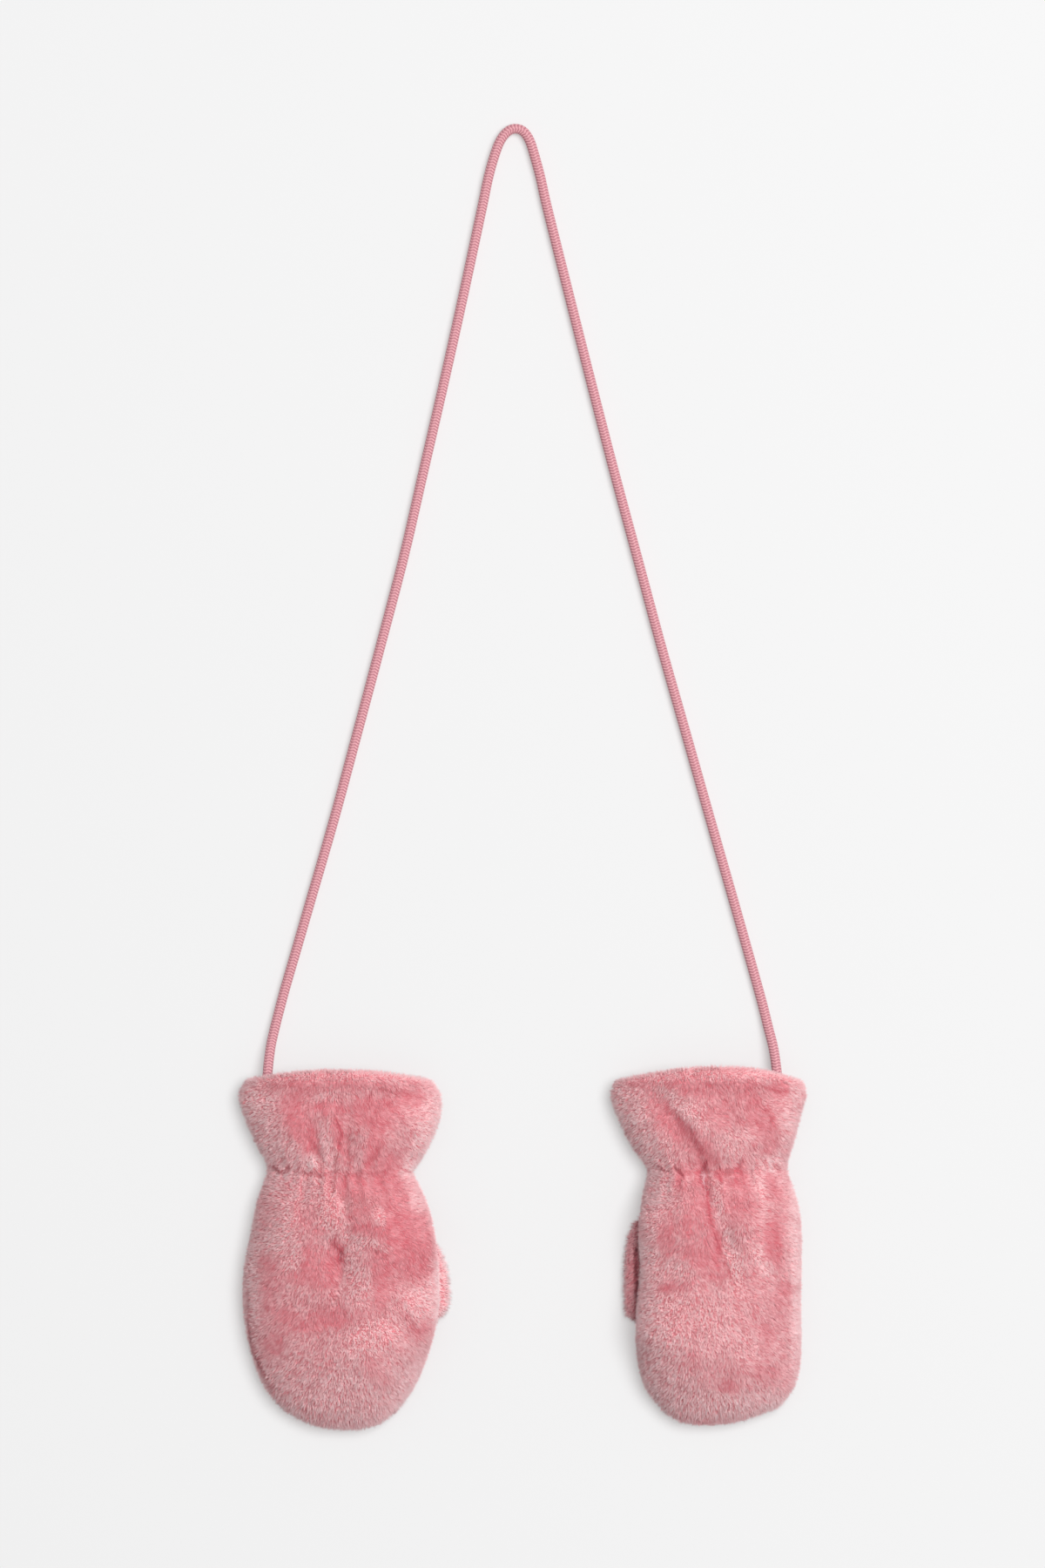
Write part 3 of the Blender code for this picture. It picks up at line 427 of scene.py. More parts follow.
# How the pile lies, place by place: frost 0 is brushed flat and 1 stands up in tufts. turn is in
# degrees, anticlockwise, from a patch that runs along the mitten
Patch = namedtuple("Patch", "x y across along frost turn", defaults=[0])
PATCHES = {
    "left": (
        Patch(-35.0, 52.0, 6.5, 17, 0.95, 15),  # cuff
        Patch(-24.0, 37.0, 6, 6, 0.85),
        Patch(-26.0, 66.0, 5, 3, 0.45),
        Patch(-16.0, 50.0, 4.5, 11, 0.0, 25),
        Patch(-16.0, 65.0, 5, 3, 0.12),
        Patch(0.0, 66.8, 20, 2.4, 0.2),
        Patch(2.0, 71.0, 36, 1.9, 0.72),
        Patch(-5.0, 62.6, 3.2, 2.6, 0.6),
        Patch(-5.0, 57.4, 6, 2, 0.0),
        Patch(-5.0, 39.0, 2.6, 9, 0.7, 12),
        Patch(-11.0, 34.0, 3, 3, 0.95),
        Patch(0.6, 44.0, 2.3, 7, 0.0, 12),
        Patch(4.6, 51.0, 2.8, 5.5, 0.4),
        Patch(14.0, 56.0, 8.5, 5.5, 0.0),
        Patch(14.0, 64.4, 5, 1.8, 0.4),
        Patch(29.0, 62.0, 6, 2.6, 0.15),
        Patch(8.0, 38.6, 1.9, 6, 0.42),
        Patch(14.6, 43.0, 2.5, 10, 0.0, -20),
        Patch(24.6, 45.0, 3.6, 4.4, 0.45),
        Patch(21.0, 35.0, 4, 4, 0.1),
        Patch(37.0, 48.0, 4.6, 14, 0.88, -20),
        Patch(29.0, 33.4, 3, 3.4, 0.9),
        Patch(-24.0, 25.0, 8, 8, 0.78),  # hand, from the wrist down
        Patch(-11.0, 23.0, 5, 6, 0.7),
        Patch(-4.0, 15.0, 4.4, 9, 0.92, 12),
        Patch(6.4, 25.0, 6, 4, 0.0),
        Patch(22.0, 21.4, 5.4, 9.5, 0.0, 35),
        Patch(32.0, 19.0, 2.6, 4, 0.75, 25),
        Patch(7.6, 14.4, 5, 2.6, 0.12, 20),
        Patch(17.0, 13.0, 2.3, 3.4, 0.85, 20),
        Patch(11.0, 8.2, 8, 2.2, 0.08),
        Patch(28.0, 2.0, 10, 12, 0.0),
        Patch(-15.0, 10.0, 2.6, 6, 0.35, -35),
        Patch(-7.6, 6.6, 3.2, 1.8, 0.3),
        Patch(-21.0, 7.0, 5, 6, 0.85),
        Patch(-28.0, 1.6, 4, 4.4, 0.9),
        Patch(-20.0, -4.0, 3.6, 5, 0.8),
        Patch(3.2, 5.0, 2.4, 6, 0.8, 32),
        Patch(14.6, 1.4, 2.0, 6.4, 0.9, 75),
        Patch(-2.6, -6.4, 3.4, 8, 0.0, -12),
        Patch(-12.4, -6.0, 2.8, 7, 0.0, 12),
        Patch(-13.0, -12.4, 9, 2.6, 0.16),
        Patch(17.4, -7.0, 3, 5, 0.02),
        Patch(18.0, -18.0, 2.3, 7, 0.15, -15),
        Patch(11.6, -26.6, 5.4, 1.8, 0.25, 15),
        Patch(8.4, -15.0, 3.4, 11, 0.8, 17),
        Patch(-30.6, -5.0, 2.4, 4, 0.25),
        Patch(-29.4, -15.0, 3, 9, 0.25),
        Patch(-18.0, -20.0, 5, 4, 0.55),
        Patch(-22.4, -28.0, 3, 2.6, 0.15),
        Patch(-3.6, -29.2, 6, 3.2, 0.03),
        Patch(-14.0, -31.6, 7, 2.6, 0.18),
        Patch(33.0, -23.0, 7, 6, 0.85),
        Patch(27.4, -29.0, 2.6, 2.2, 0.3),
        Patch(32.0, -34.6, 2.0, 3.4, 0.25, 20),
        Patch(35.4, -31.4, 1.8, 2.6, 0.2),
        Patch(-27.4, -41.0, 4, 4.2, 0.18),
        Patch(-37.6, -12.0, 3, 30, 0.85),
        Patch(15.0, -36.0, 5, 10, 0.98, -60),
        Patch(-12.0, -45.0, 7, 7, 0.6),
        Patch(0.0, -60.0, 34, 14, 0.85),
        Patch(13.4, -49.6, 4.6, 4.6, 0.25),
        Patch(18.4, -55.2, 4.4, 3.8, 0.12),
        Patch(43.0, -18.0, 4, 14, 1.0),  # thumb
    ),
    "right": (
        Patch(-34.0, 52.0, 6.5, 14, 0.92, 20),  # cuff
        Patch(-23.0, 37.0, 6, 6, 0.85),
        Patch(-31.0, 67.4, 4.4, 1.6, 0.4),
        Patch(-12.6, 49.6, 4.2, 12, 0.06, 46),
        Patch(-1.4, 39.6, 3.6, 5, 0.0, 20),
        Patch(-11.0, 57.6, 2.8, 11, 0.85, 48),
        Patch(-3.0, 65.6, 13, 3.4, 0.12),
        Patch(0.0, 71.2, 34, 2.0, 0.72),
        Patch(18.0, 59.6, 3.2, 12, 0.1, 28),
        Patch(8.0, 56.0, 7, 6.4, 0.28),
        Patch(25.4, 46.0, 2.6, 8, 0.2, -8),
        Patch(29.6, 65.0, 5, 2.2, 0.05, -15),
        Patch(35.4, 57.0, 3, 12, 0.72, -10),
        Patch(11.0, 42.4, 5.4, 5, 0.75),
        Patch(16.6, 39.0, 1.4, 4, 0.4, -20),
        Patch(26.0, 34.8, 4.6, 3, 0.95),
        Patch(-22.0, 25.0, 5.4, 8, 0.85),  # hand, from the wrist down
        Patch(-24.6, 12.0, 4, 8, 0.75),
        Patch(-11.4, 27.0, 2.2, 5, 0.1, -15),
        Patch(-2.6, 25.0, 2.4, 9, 0.02),
        Patch(4.4, 30.4, 2.2, 2.4, 0.0),
        Patch(12.2, 28.4, 2.8, 3.8, 0.0),
        Patch(12.6, 19.6, 5.4, 7.6, 0.16),
        Patch(22.0, 24.4, 1.9, 7, 0.8, 12),
        Patch(27.2, 25.4, 1.8, 6, 0.15, 25),
        Patch(25.0, 14.6, 2.4, 4, 0.6),
        Patch(-18.0, 5.0, 3.2, 6, 0.12),
        Patch(-14.0, 18.6, 3.6, 4, 0.6),
        Patch(-7.2, 14.0, 4.4, 10, 0.18),
        Patch(0.2, 12.6, 1.8, 10, 0.0, 3),
        Patch(2.4, 1.4, 2.8, 7, 0.0, 5),
        Patch(4.2, 17.6, 1.6, 9, 0.7, 12),
        Patch(7.4, 3.0, 1.9, 5, 0.8, 12),
        Patch(-3.4, -3.6, 7, 4.6, 0.12),
        Patch(3.0, -9.6, 4.4, 3.4, 0.22),
        Patch(11.4, -9.0, 2.6, 10, 0.9, 8),
        Patch(14.6, 3.6, 4, 5, 0.45),
        Patch(27.0, 5.0, 2.8, 7, 0.0),
        Patch(28.2, -3.0, 1.8, 5, 0.1, 8),
        Patch(20.4, -4.4, 2.2, 6, 0.95, 35),
        Patch(-26.4, -3.0, 3, 6, 0.95, 60),
        Patch(-14.0, -8.6, 7, 3, 0.85),
        Patch(-25.0, -13.0, 4, 6, 0.85),
        Patch(-18.0, -16.6, 6, 1.8, 0.25),
        Patch(33.2, -17.4, 3.2, 2.8, 0.0),
        Patch(29.0, -26.0, 3, 6, 0.35),
        Patch(20.6, -20.0, 3, 6, 0.5),
        Patch(-18.0, -26.0, 10, 6, 0.95),
        Patch(-19.0, -40.0, 11, 10, 0.92),
        Patch(2.0, -32.0, 8, 10, 0.8),
        Patch(14.4, -42.0, 4.6, 5, 0.75),
        Patch(24.0, -36.0, 2.4, 4, 0.25),
        Patch(-9.0, -46.0, 5, 4, 0.4),
        Patch(24.0, -52.0, 5, 2.2, 0.25),
        Patch(8.6, -58.6, 3.2, 3.0, 0.12),
        Patch(-18.0, -57.0, 10, 8, 0.85),
        Patch(2.0, -65.0, 30, 5, 0.92),
        # a strip of standing pile along the right rim, painted paler: partly standing pile, partly
        # painted sheen
        Patch(36.4, -10.0, 1.8, 40, 0.85),
        Patch(-33.6, -8.0, 3, 14, 0.45),  # thumb
    ),
}


# Smooth uneven values: how high they get, how far it is from swell to swell, and their own layer
Waves = namedtuple("Waves", "height size layer")
LAYERS_APART = 7.3


def waves_at(x, y, waves):
    """The height of waves at points."""
    size, depth = waves.size, LAYERS_APART * waves.layer
    return waves.height * np.array([
        noise.noise((a / size, b / size, depth)) for a, b in zip(x, y)
    ])


def from_line(x, y, x1, y1, x2, y2):
    """How far points are from a straight piece of line."""
    run_x, run_y = x2 - x1, y2 - y1
    part = ((x - x1) * run_x + (y - y1) * run_y) / (run_x**2 + run_y**2)
    part = np.clip(part, 0, 1)
    return np.hypot(x - x1 - part * run_x, y - y1 - part * run_y)


CREASE_STRAY_X = Waves(0.7, 3.2, 11)  # how the creases stray from their straight lines
CREASE_STRAY_Y = Waves(0.7, 3.2, 12)


def crease_depth(creases, x, y):
    """How deep the creases are at points, or, below 0, how high the swells."""
    x = x + waves_at(x, y, CREASE_STRAY_X)
    y = y + waves_at(x, y, CREASE_STRAY_Y)
    sunk, raised = np.zeros_like(x), np.zeros_like(x)
    for c in creases:
        away = from_line(x, y, c.x1, c.y1, c.x2, c.y2)
        depth = c.depth * np.exp(-((away / c.width) ** 2))
        sunk, raised = np.maximum(sunk, depth), np.minimum(raised, depth)
    return sunk + raised


PATCH_STRAY_X = Waves(1.5, 5, 1)  # how the patches' edges stray
PATCH_STRAY_Y = Waves(1.5, 5, 3)
PATCH_FRAY_X = Waves(0.9, 1.8, 2)  # and how they fray
PATCH_FRAY_Y = Waves(0.9, 1.8, 4)
PATCH_FALL = 1.4  # how fast a patch loses its weight at its edge
PATCH_CONTRAST = 1.35
EVEN_FROST = 0.5  # how the pile stands where no patch lies
EVEN_WEIGHT = 0.12  # how much that counts beside the patches


def frost_at(patches, x, y):
    """How far the pile stands up in tufts, from 0 to 1."""
    x = x + waves_at(x, y, PATCH_STRAY_X) + waves_at(x, y, PATCH_FRAY_X)
    y = y + waves_at(x, y, PATCH_STRAY_Y) + waves_at(x, y, PATCH_FRAY_Y)
    total = np.full_like(x, EVEN_WEIGHT)
    frost = total * EVEN_FROST
    for p in patches:
        turn = math.radians(p.turn)
        side = ((x - p.x) * math.cos(turn) + (y - p.y) * math.sin(turn)) / p.across
        run = ((y - p.y) * math.cos(turn) - (x - p.x) * math.sin(turn)) / p.along
        weight = np.exp(-PATCH_FALL * (side**2 + run**2))
        total += weight
        frost += weight * p.frost
    return np.clip(0.5 + PATCH_CONTRAST * (frost / total - 0.5), 0, 1)


def panel_mesh(node, levels):
    """A panel's solid, merged and then smoothed into a finer mesh."""
    shape = bmesh.new()
    shape.from_mesh(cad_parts[node].data)
    bmesh.ops.remove_doubles(shape, verts=shape.verts, dist=1e-6)
    mesh = bpy.data.meshes.new(node)
    shape.to_mesh(mesh)
    shape.free()
    rough = bpy.data.objects.new(node, mesh)
    bpy.context.collection.objects.link(rough)
    smoother = rough.modifiers.new("smooth", "SUBSURF")
    smoother.levels = levels
    smoother.render_levels = levels
    bpy.context.view_layer.update()
    seen = rough.evaluated_get(bpy.context.evaluated_depsgraph_get())
    mesh = bpy.data.meshes.new_from_object(seen)
    bpy.data.objects.remove(rough)
    mesh.materials.clear()
    return mesh


def points_of(mesh):
    """A mesh's points in mm, and its normals."""
    points = np.empty(len(mesh.vertices) * 3, np.float32)
    normals = np.empty(len(mesh.vertices) * 3, np.float32)
    mesh.vertices.foreach_get("co", points)
    mesh.vertex_normals.foreach_get("vector", normals)
    return points.reshape(-1, 3) / MM, normals.reshape(-1, 3).astype(float)


def walls_of(nodes):
    """The surfaces of several solids, to look for what faces a point."""
    shape = bmesh.new()
    for node in nodes:
        shape.from_mesh(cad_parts[node].data)
    walls = BVHTree.FromBMesh(shape)
    shape.free()
    return walls


def spread(mesh, share, rounds):
    """Values of the points, each evened out with its neighbours'."""
    edges = np.empty(len(mesh.edges) * 2, int)
    mesh.edges.foreach_get("vertices", edges)
    first, second = edges.reshape(-1, 2).T
    ends = np.r_[first, second]
    near = np.bincount(ends, minlength=len(share))
    for _ in range(rounds):
        from_near = np.bincount(ends, np.r_[share[second], share[first]], len(share))
        share = 0.5 * share + 0.5 * from_near / near
    return share


LOOK_FROM = 0.0002  # in metres: a look from a point starts this far off it
LOOK_ACROSS = 0.028  # in metres: a wall within this reach faces the point over the hollow


def outside_share(mesh, points, normals, walls):
    """1 on the side that carries pile, and 0 on the side that faces the mitten's own hollow."""
    share = np.array([
        walls.ray_cast(Vector(p * MM) + Vector(n) * LOOK_FROM, Vector(n), LOOK_ACROSS)[0] is None
        for p, n in zip(points, normals)
    ], float)
    return spread(mesh, share, 2)


HEM_INSIDE = 9.0  # how far the hem reaches into the mouth
LIP_BAND = 0.3  # points whose outside share is nearer than this to a half lie on the lip
LIP_EVERY = 3  # one in so many of them is enough to measure from


def hem_share(mesh, points, outside):
    """1 on the turned hem inside the mouth, and 0 further in."""
    lip = points[(abs(outside - 0.5) < LIP_BAND) & (points[:, 1] > CUFF_LIP_Y)]
    if not len(lip):
        return np.zeros(len(points))
    away = np.min(np.linalg.norm(points[:, None] - lip[None, ::LIP_EVERY], axis=2), axis=1)
    return spread(mesh, (away < HEM_INSIDE).astype(float), 1)


PRESSED_BELOW = 2.5  # the height up to which the table presses on the pile
UNDER_SLOPE = 1.6  # how soon the underside counts as turned down
UPPER_SLOPE = 2.5  # and the upper side as turned up


def pressed_share(points, normals):
    """1 where the mitten's weight lies on the pile, and 0 away from the table."""
    under = np.clip(-UNDER_SLOPE * normals[:, 2], 0, 1)
    return under * np.clip(1 - points[:, 2] / PRESSED_BELOW, 0, 1)


def upper_share(normals):
    """1 on the upper side, which has the creases, and 0 on the underside."""
    return np.clip(UPPER_SLOPE * normals[:, 2], 0, 1)


LINING_PINK = (0.72, 0.40, 0.43, 1)
LOOP_SHADE = (0.56, 0.27, 0.30, 1)
GROUND_PINK = (0.62, 0.22, 0.25, 1)

ground_finish = Finish("knitted ground", Roughness=0.95, Sheen_Weight=0.2, Sheen_Roughness=0.5)
has_pile = ground_finish.attribute("sides")[0]
loops = ground_finish.grain(scale=900, detail=2, stretch=(1, 0.5, 1))
lining = ground_finish.mix(loops, LINING_PINK, LOOP_SHADE)
ground_finish.set("Base Color", ground_finish.mix(has_pile, lining, GROUND_PINK))
ground_finish.bump(loops, distance=0.0003, strength=0.6)

PILE_DEPTH = 1.8  # how far the knitted ground lies under the ends of the standing pile
HEM_PILE_DEPTH = 1.0  # and inside the mouth, where the turned hem crushes it
PRESSED_DEPTH = 0.7  # and where the mitten's weight rests on it
CREASE_SHARE = 0.8  # how much of a crease's depth the ground takes
RIM_FULLNESS = 1.0  # how much fuller the pile makes the mitten at its rims

Skin = namedtuple("Skin", "points normals cover depth")


def ground_panel(name, node, side, levels, walls):
    """The knitted ground of one panel under its pile, and the skin that the pile grows on."""
    mesh = panel_mesh(node, levels)
    points, normals = points_of(mesh)
    outside = outside_share(mesh, points, normals, walls)
    hem = hem_share(mesh, points, outside) * (1 - outside)
    on_table = pressed_share(points, normals)
    depth = PILE_DEPTH + (PRESSED_DEPTH - PILE_DEPTH) * on_table
    depth = outside * depth + hem * HEM_PILE_DEPTH
    creases = crease_depth(CREASES[side], points[:, 0] - MITTEN_X[side], points[:, 1])
    creases = creases * upper_share(normals) * outside
    cover = np.clip(outside + hem, 0, 1)
    rim = np.clip(1 - abs(normals[:, 2]), 0, 1) * cover
    points = points - normals * (depth + CREASE_SHARE * creases - RIM_FULLNESS * rim)[:, None]
    mesh.vertices.foreach_set("co", (points * MM).astype(np.float32).ravel())
    sides = np.stack([cover, 0 * cover, 0 * cover], 1)
    stored = mesh.attributes.new("sides", "FLOAT_VECTOR", "POINT")
    stored.data.foreach_set("vector", sides.astype(np.float32).ravel())
    mesh.update()
    mesh.shade_smooth()
    mesh.materials.append(ground_finish.material)
    panel = bpy.data.objects.new(name, mesh)
    bpy.context.collection.objects.link(panel)
    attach(panel, "root")
    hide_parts(node)
    return panel, Skin(points, normals, cover, depth)


# Each fibre is painted darker at its root, a painted shade deep in the pile, and paler at its tip,
# a painted light where the ends catch it, most of all in the standing pile
DEEP_ROOT = (0.74, 0.111, 0.148, 1)  # brushed flat
DEEP_TIP = (0.825, 0.157, 0.203, 1)
FROST_ROOT = (0.92, 0.35, 0.38, 1)  # standing in tufts
FROST_TIP = (1.0, 0.79, 0.80, 1)
# SHADED_PINK and LIT_PINK are the painted shade and the painted light that a fibre's lightness
# mixes in, together with its own random tone
SHADED_PINK = (0.62, 0.14, 0.17, 1)
SHADED_SHARE = 0.62
LIT_PINK = (1.0, 0.84, 0.85, 1)
LIT_SHARE = 0.36
# The painted shadow in the deepest creases, and how far it darkens them
CREASE_SHADOW_PINK = (0.22, 0.06, 0.075, 1)
CREASE_SHADE = 0.8

pile_finish = Finish(
    "plush pile", Roughness=0.85, Sheen_Weight=0.08, Sheen_Roughness=0.35, Specular_IOR_Level=0.2
)
height, frosted, lightness = pile_finish.attribute("pile")
root_pink = pile_finish.mix(frosted, DEEP_ROOT, FROST_ROOT)
tip_pink = pile_finish.mix(frosted, DEEP_TIP, FROST_TIP)
pink = pile_finish.mix(height, root_pink, tip_pink)
darker = pile_finish.mix(SHADED_SHARE, pink, SHADED_PINK)
lighter = pile_finish.mix(LIT_SHARE, pink, LIT_PINK)
grain = pile_finish.grain(scale=2100, detail=2) - 0.5
pink = pile_finish.mix(lightness + grain, darker, lighter)
pile_finish.set("Base Color", pile_finish.mix(lightness * -CREASE_SHADE, pink, CREASE_SHADOW_PINK))


def unit(vectors):
    """The same ways, each 1 long."""
    return vectors / (np.linalg.norm(vectors, axis=1)[:, None] + 1e-9)


COVER_STARTS = 0.3  # fibres grow from this cover on, and in full from twice as much
RIM_DENSITY = 0.7  # how many more fibres the rims have, which are seen from the side
RIM_SLOPE = 1.6
UNDER_TILT = -0.5  # what is turned down further than this belongs to the underside
UNDER_DENSITY = 0.35


def roots_on(panel, skin, count, dice, between):
    """Where fibres grow on a skin: their roots, normals and depths."""
    mesh = panel.data
    mesh.calc_loop_triangles()
    corners = np.empty(len(mesh.loop_triangles) * 3, int)
    mesh.loop_triangles.foreach_get("vertices", corners)
    corners = corners.reshape(-1, 3)
    a, b, c = (skin.points[corners[:, k]] for k in range(3))
    area = np.linalg.norm(np.cross(b - a, c - a), axis=1) / 2
    middle_y = ((a + b + c) / 3)[:, 1]
    cover = skin.cover[corners].mean(1)
    chance = area * np.clip((cover - COVER_STARTS) / COVER_STARTS, 0, 1)
    chance *= (middle_y >= between[0]) & (middle_y < between[1])
    tilt = skin.normals[corners][:, :, 2].mean(1)
    upper = 1 + RIM_DENSITY * np.clip(1 - abs(tilt) * RIM_SLOPE, 0, 1)
    chance *= np.where(tilt > UNDER_TILT, upper, UNDER_DENSITY)
    face = dice.choice(len(corners), count, p=chance / chance.sum())
    u, v = dice.random(count), dice.random(count)
    u, v = np.where(u + v > 1, 1 - u, u), np.where(u + v > 1, 1 - v, v)
    share = np.stack([1 - u - v, u, v], 1)
    root = np.einsum("nk,nkd->nd", share, skin.points[corners[face]])
    normal = unit(np.einsum("nk,nkd->nd", share, skin.normals[corners[face]]))
    depth = (share * skin.depth[corners[face]]).sum(1)
    return root, normal, depth


PILE_OVER_DEPTH = 1.2  # the length of the fibres, over the depth that they fill
FAN = 0.035  # how much the pile fans out to both sides, for each mm from the middle
BROAD_SWIRL = Waves(1.1, 9, 5)  # how the brushing swirls out of its way
SMALL_SWIRL = Waves(0.6, 3, 6)
SWIRL_ACROSS = 0.9
SWIRL_ALONG = 0.5
SKIRT_LENGTH = 1.2  # how much longer the pile is that spreads out over the table at the sides
SKIRT_THINS = 5.0  # the height over which it gets less
SKIRT_TOP = 1.4  # and, over that height, the one where it ends
SKIRT_PULL = 3
SIDE_SLOPE = 2  # how soon what is turned down counts as low under the side
FLAT_UNDER = 1.05  # what is turned straight down has no part in it
NEAR_TIP = 0.7  # how far out, over its length, a fibre takes its patch and its crease
# The pile at the rims stands up as if frosted, and is painted paler, a painted sheen where it
# turns away
RIM_FROST_AND_SHEEN = 0.75

Nap = namedtuple("Nap", "x y normal edge frost creases skirt brushed")


def brushed_way(x, y, normal, skirt):
    """How the pile is brushed along the skin: down the mitten, fanned and swirled."""
    swirl = waves_at(x, y, BROAD_SWIRL) + waves_at(x, y, SMALL_SWIRL)
    brushed = np.stack([FAN * x + SWIRL_ACROSS * swirl, -1 + SWIRL_ALONG * swirl, 0 * x], 1)
    pull = SKIRT_PULL * skirt * np.clip(1 + FLAT_UNDER * normal[:, 2], 0, 1)
    out = unit(normal * (1, 1, 0)) * pull[:, None]
    return unit(brushed + out - normal * ((brushed + out) * normal).sum(1)[:, None])


def nap_at(root, normal, depth, side):
    """How the pile lies at each fibre."""
    low = np.clip(SKIRT_TOP - root[:, 2] / SKIRT_THINS, 0, 1)
    skirt = np.clip(-SIDE_SLOPE * normal[:, 2], 0, 1) * low
    brushed = brushed_way(root[:, 0] - MITTEN_X[side], root[:, 1], normal, skirt)
    near_tip = root + (normal + brushed) * (NEAR_TIP * PILE_OVER_DEPTH * depth)[:, None]
    x, y = near_tip[:, 0] - MITTEN_X[side], near_tip[:, 1]
    edge = np.clip(1 - normal[:, 2], 0, 1)
    frost = np.maximum(frost_at(PATCHES[side], x, y), RIM_FROST_AND_SHEEN * edge**1.5)
    creases = crease_depth(CREASES[side], x, y) * upper_share(normal)
    return Nap(x, y, normal, edge, frost, creases, skirt, brushed)


FLAT_ANGLE = 60  # degrees from upright of the pile that is brushed flat
FROST_RAISES = 48  # and how much more upright it stands in tufts
ANGLE_SPREAD = 0.13  # in radians
RIM_ANGLE_SPREAD = 0.2
PRESSED_ANGLE = 1.5  # in radians
RIM_RISE = 0.8  # how far the pile at the rims springs up
RIM_CROSSED = 0.35  # and how much of it turns down over the seam
CROSSED_RISE = -0.6
SHORTEST_FIBRE = 0.84  # over the mean length
LONGEST_FIBRE = 1.1
RIM_LONGER = 0.12
LEAST_LENGTH = 0.8
TIP_SPREAD = 0.2


def tips_of(root, depth, nap, dice):
    """Where the fibres end, before they are drawn together in tufts."""
    count = len(root)
    angle = np.radians(FLAT_ANGLE - FROST_RAISES * nap.frost)
    angle = angle + dice.normal(0, 1, count) * (ANGLE_SPREAD + RIM_ANGLE_SPREAD * nap.edge)
    angle = angle + (PRESSED_ANGLE - angle) * pressed_share(root, nap.normal)
    stand = np.cos(angle)[:, None] * nap.normal + np.sin(angle)[:, None] * nap.brushed
    rise = np.where(dice.random(count) < RIM_CROSSED, CROSSED_RISE, 1) * RIM_RISE
    stand[:, 2] += rise * nap.edge * np.clip(1 + SIDE_SLOPE * nap.normal[:, 2], 0, 1)
    longest = LONGEST_FIBRE + RIM_LONGER * nap.edge
    length = PILE_OVER_DEPTH * depth * dice.uniform(SHORTEST_FIBRE, longest, count)
    length = np.maximum(length, LEAST_LENGTH) + SKIRT_LENGTH * nap.skirt
    return root + unit(stand) * length[:, None] + dice.normal(0, TIP_SPREAD, (count, 3))


TUFT_SPACE = (0.72, 0.85)  # across and along the mitten, from tuft to tuft
TUFT_CELLS = (149, 131)  # after so many tufts their pattern starts again
TUFT_PLACE = (0.1, 0.9)  # where in its cell the middle of a tuft may lie
TUFT_BEND_X = Waves(1.6, 14, 7)  # how the rows of tufts bend
TUFT_BEND_Y = Waves(1.6, 14, 9)

Tuft = namedtuple("Tuft", "middle away tone lean")


def nearest_tuft(x, y, seed):
    """For each fibre, where the middle of its tuft is, how far in cells, and its tone and lean."""
    x, y = x + waves_at(x, y, TUFT_BEND_X), y + waves_at(x, y, TUFT_BEND_Y)
    dice = np.random.default_rng(seed)
    columns, rows = TUFT_CELLS
    offsets = dice.uniform(*TUFT_PLACE, (columns, rows, 2))
    kinds = dice.uniform(-1, 1, (columns, rows, 3))
    column, row = np.floor(x / TUFT_SPACE[0]), np.floor(y / TUFT_SPACE[1])
    best = np.full_like(x, 1e9)
    middle = np.zeros((len(x), 2))
    kind = np.zeros((len(x), 3))
    for across in (-1, 0, 1):
        for along in (-1, 0, 1):
            c, r = (column + across).astype(int), (row + along).astype(int)
            place = offsets[c % columns, r % rows]
            middle_x = (c + place[:, 0]) * TUFT_SPACE[0]
            middle_y = (r + place[:, 1]) * TUFT_SPACE[1]
            away = np.hypot((middle_x - x) / TUFT_SPACE[0], (middle_y - y) / TUFT_SPACE[1])
            closer = away < best
            best = np.where(closer, away, best)
            middle[closer] = np.stack([middle_x - x, middle_y - y], 1)[closer]
            kind[closer] = kinds[c % columns, r % rows][closer]
    return Tuft(middle, np.clip(best, 0, 1), kind[:, 0], kind[:, 1:])


# A strength in the flat pile, and how much more it is where the pile stands up in tufts
ByFrost = namedtuple("ByFrost", "flat more")
TUFT_PULL = ByFrost(0.12, 0.7)  # how far the tips are drawn to the middle of their tuft
TUFTING = ByFrost(0.15, 0.85)
TUFT_LEAN = 0.4  # how far the tip of a standing tuft leans its own way
UPWARD_FROM = 0.35  # the tufting begins this far past the rim, on the underside
RIM_CALM = 0.75  # share of its tufting that the pile loses on the slopes of the right side
CALM_SLOPE = 1.6  # how soon a slope loses it
CALM_WIDTH = 30  # from the tufted left side to the calm right one
CALM_LEAST = 0.1  # the share of that loss that is left on the left side
TIP_FLOOR = 0.12  # the least height over the table of the tips, the roots and all points
ROOT_FLOOR = 0.45
FIBRE_FLOOR = 0.08


def by_frost(strength, frost):
    """What a strength comes to where the pile stands up by so much."""
    return strength.flat + strength.more * frost


def calm_share(nap):
    """How much of its tufting the pile keeps: nearly all, but on the right-hand slopes."""
    slope = np.clip(CALM_SLOPE * nap.edge, 0, 1)
    return 1 - RIM_CALM * slope * np.clip(0.5 + nap.x / CALM_WIDTH, CALM_LEAST, 1)


def draw_together(tip, nap, tuft, upward):
    """Moves the tips to the middle of their tuft, and lets each tuft lean its own way."""
    tip[:, :2] += (by_frost(TUFT_PULL, nap.frost) * upward)[:, None] * tuft.middle
    tip[:, :2] += (TUFT_LEAN * by_frost(TUFTING, nap.frost) * upward)[:, None] * tuft.lean
    tip[:, 2] = np.maximum(tip[:, 2], TIP_FLOOR)


TUFT_WIDTH = 0.46  # the width of a bundle of fibres at its root
WIDTH_SPREAD = (0.8, 1.2)
RIM_THINNER = 0.3
SIDES_FACE = 2  # how much a bundle's sides face outwards, over its tip facing forward
ANY_WAY = (0.31, 0.22, 0.92)  # a way that no fibre points, from which their two sides are turned


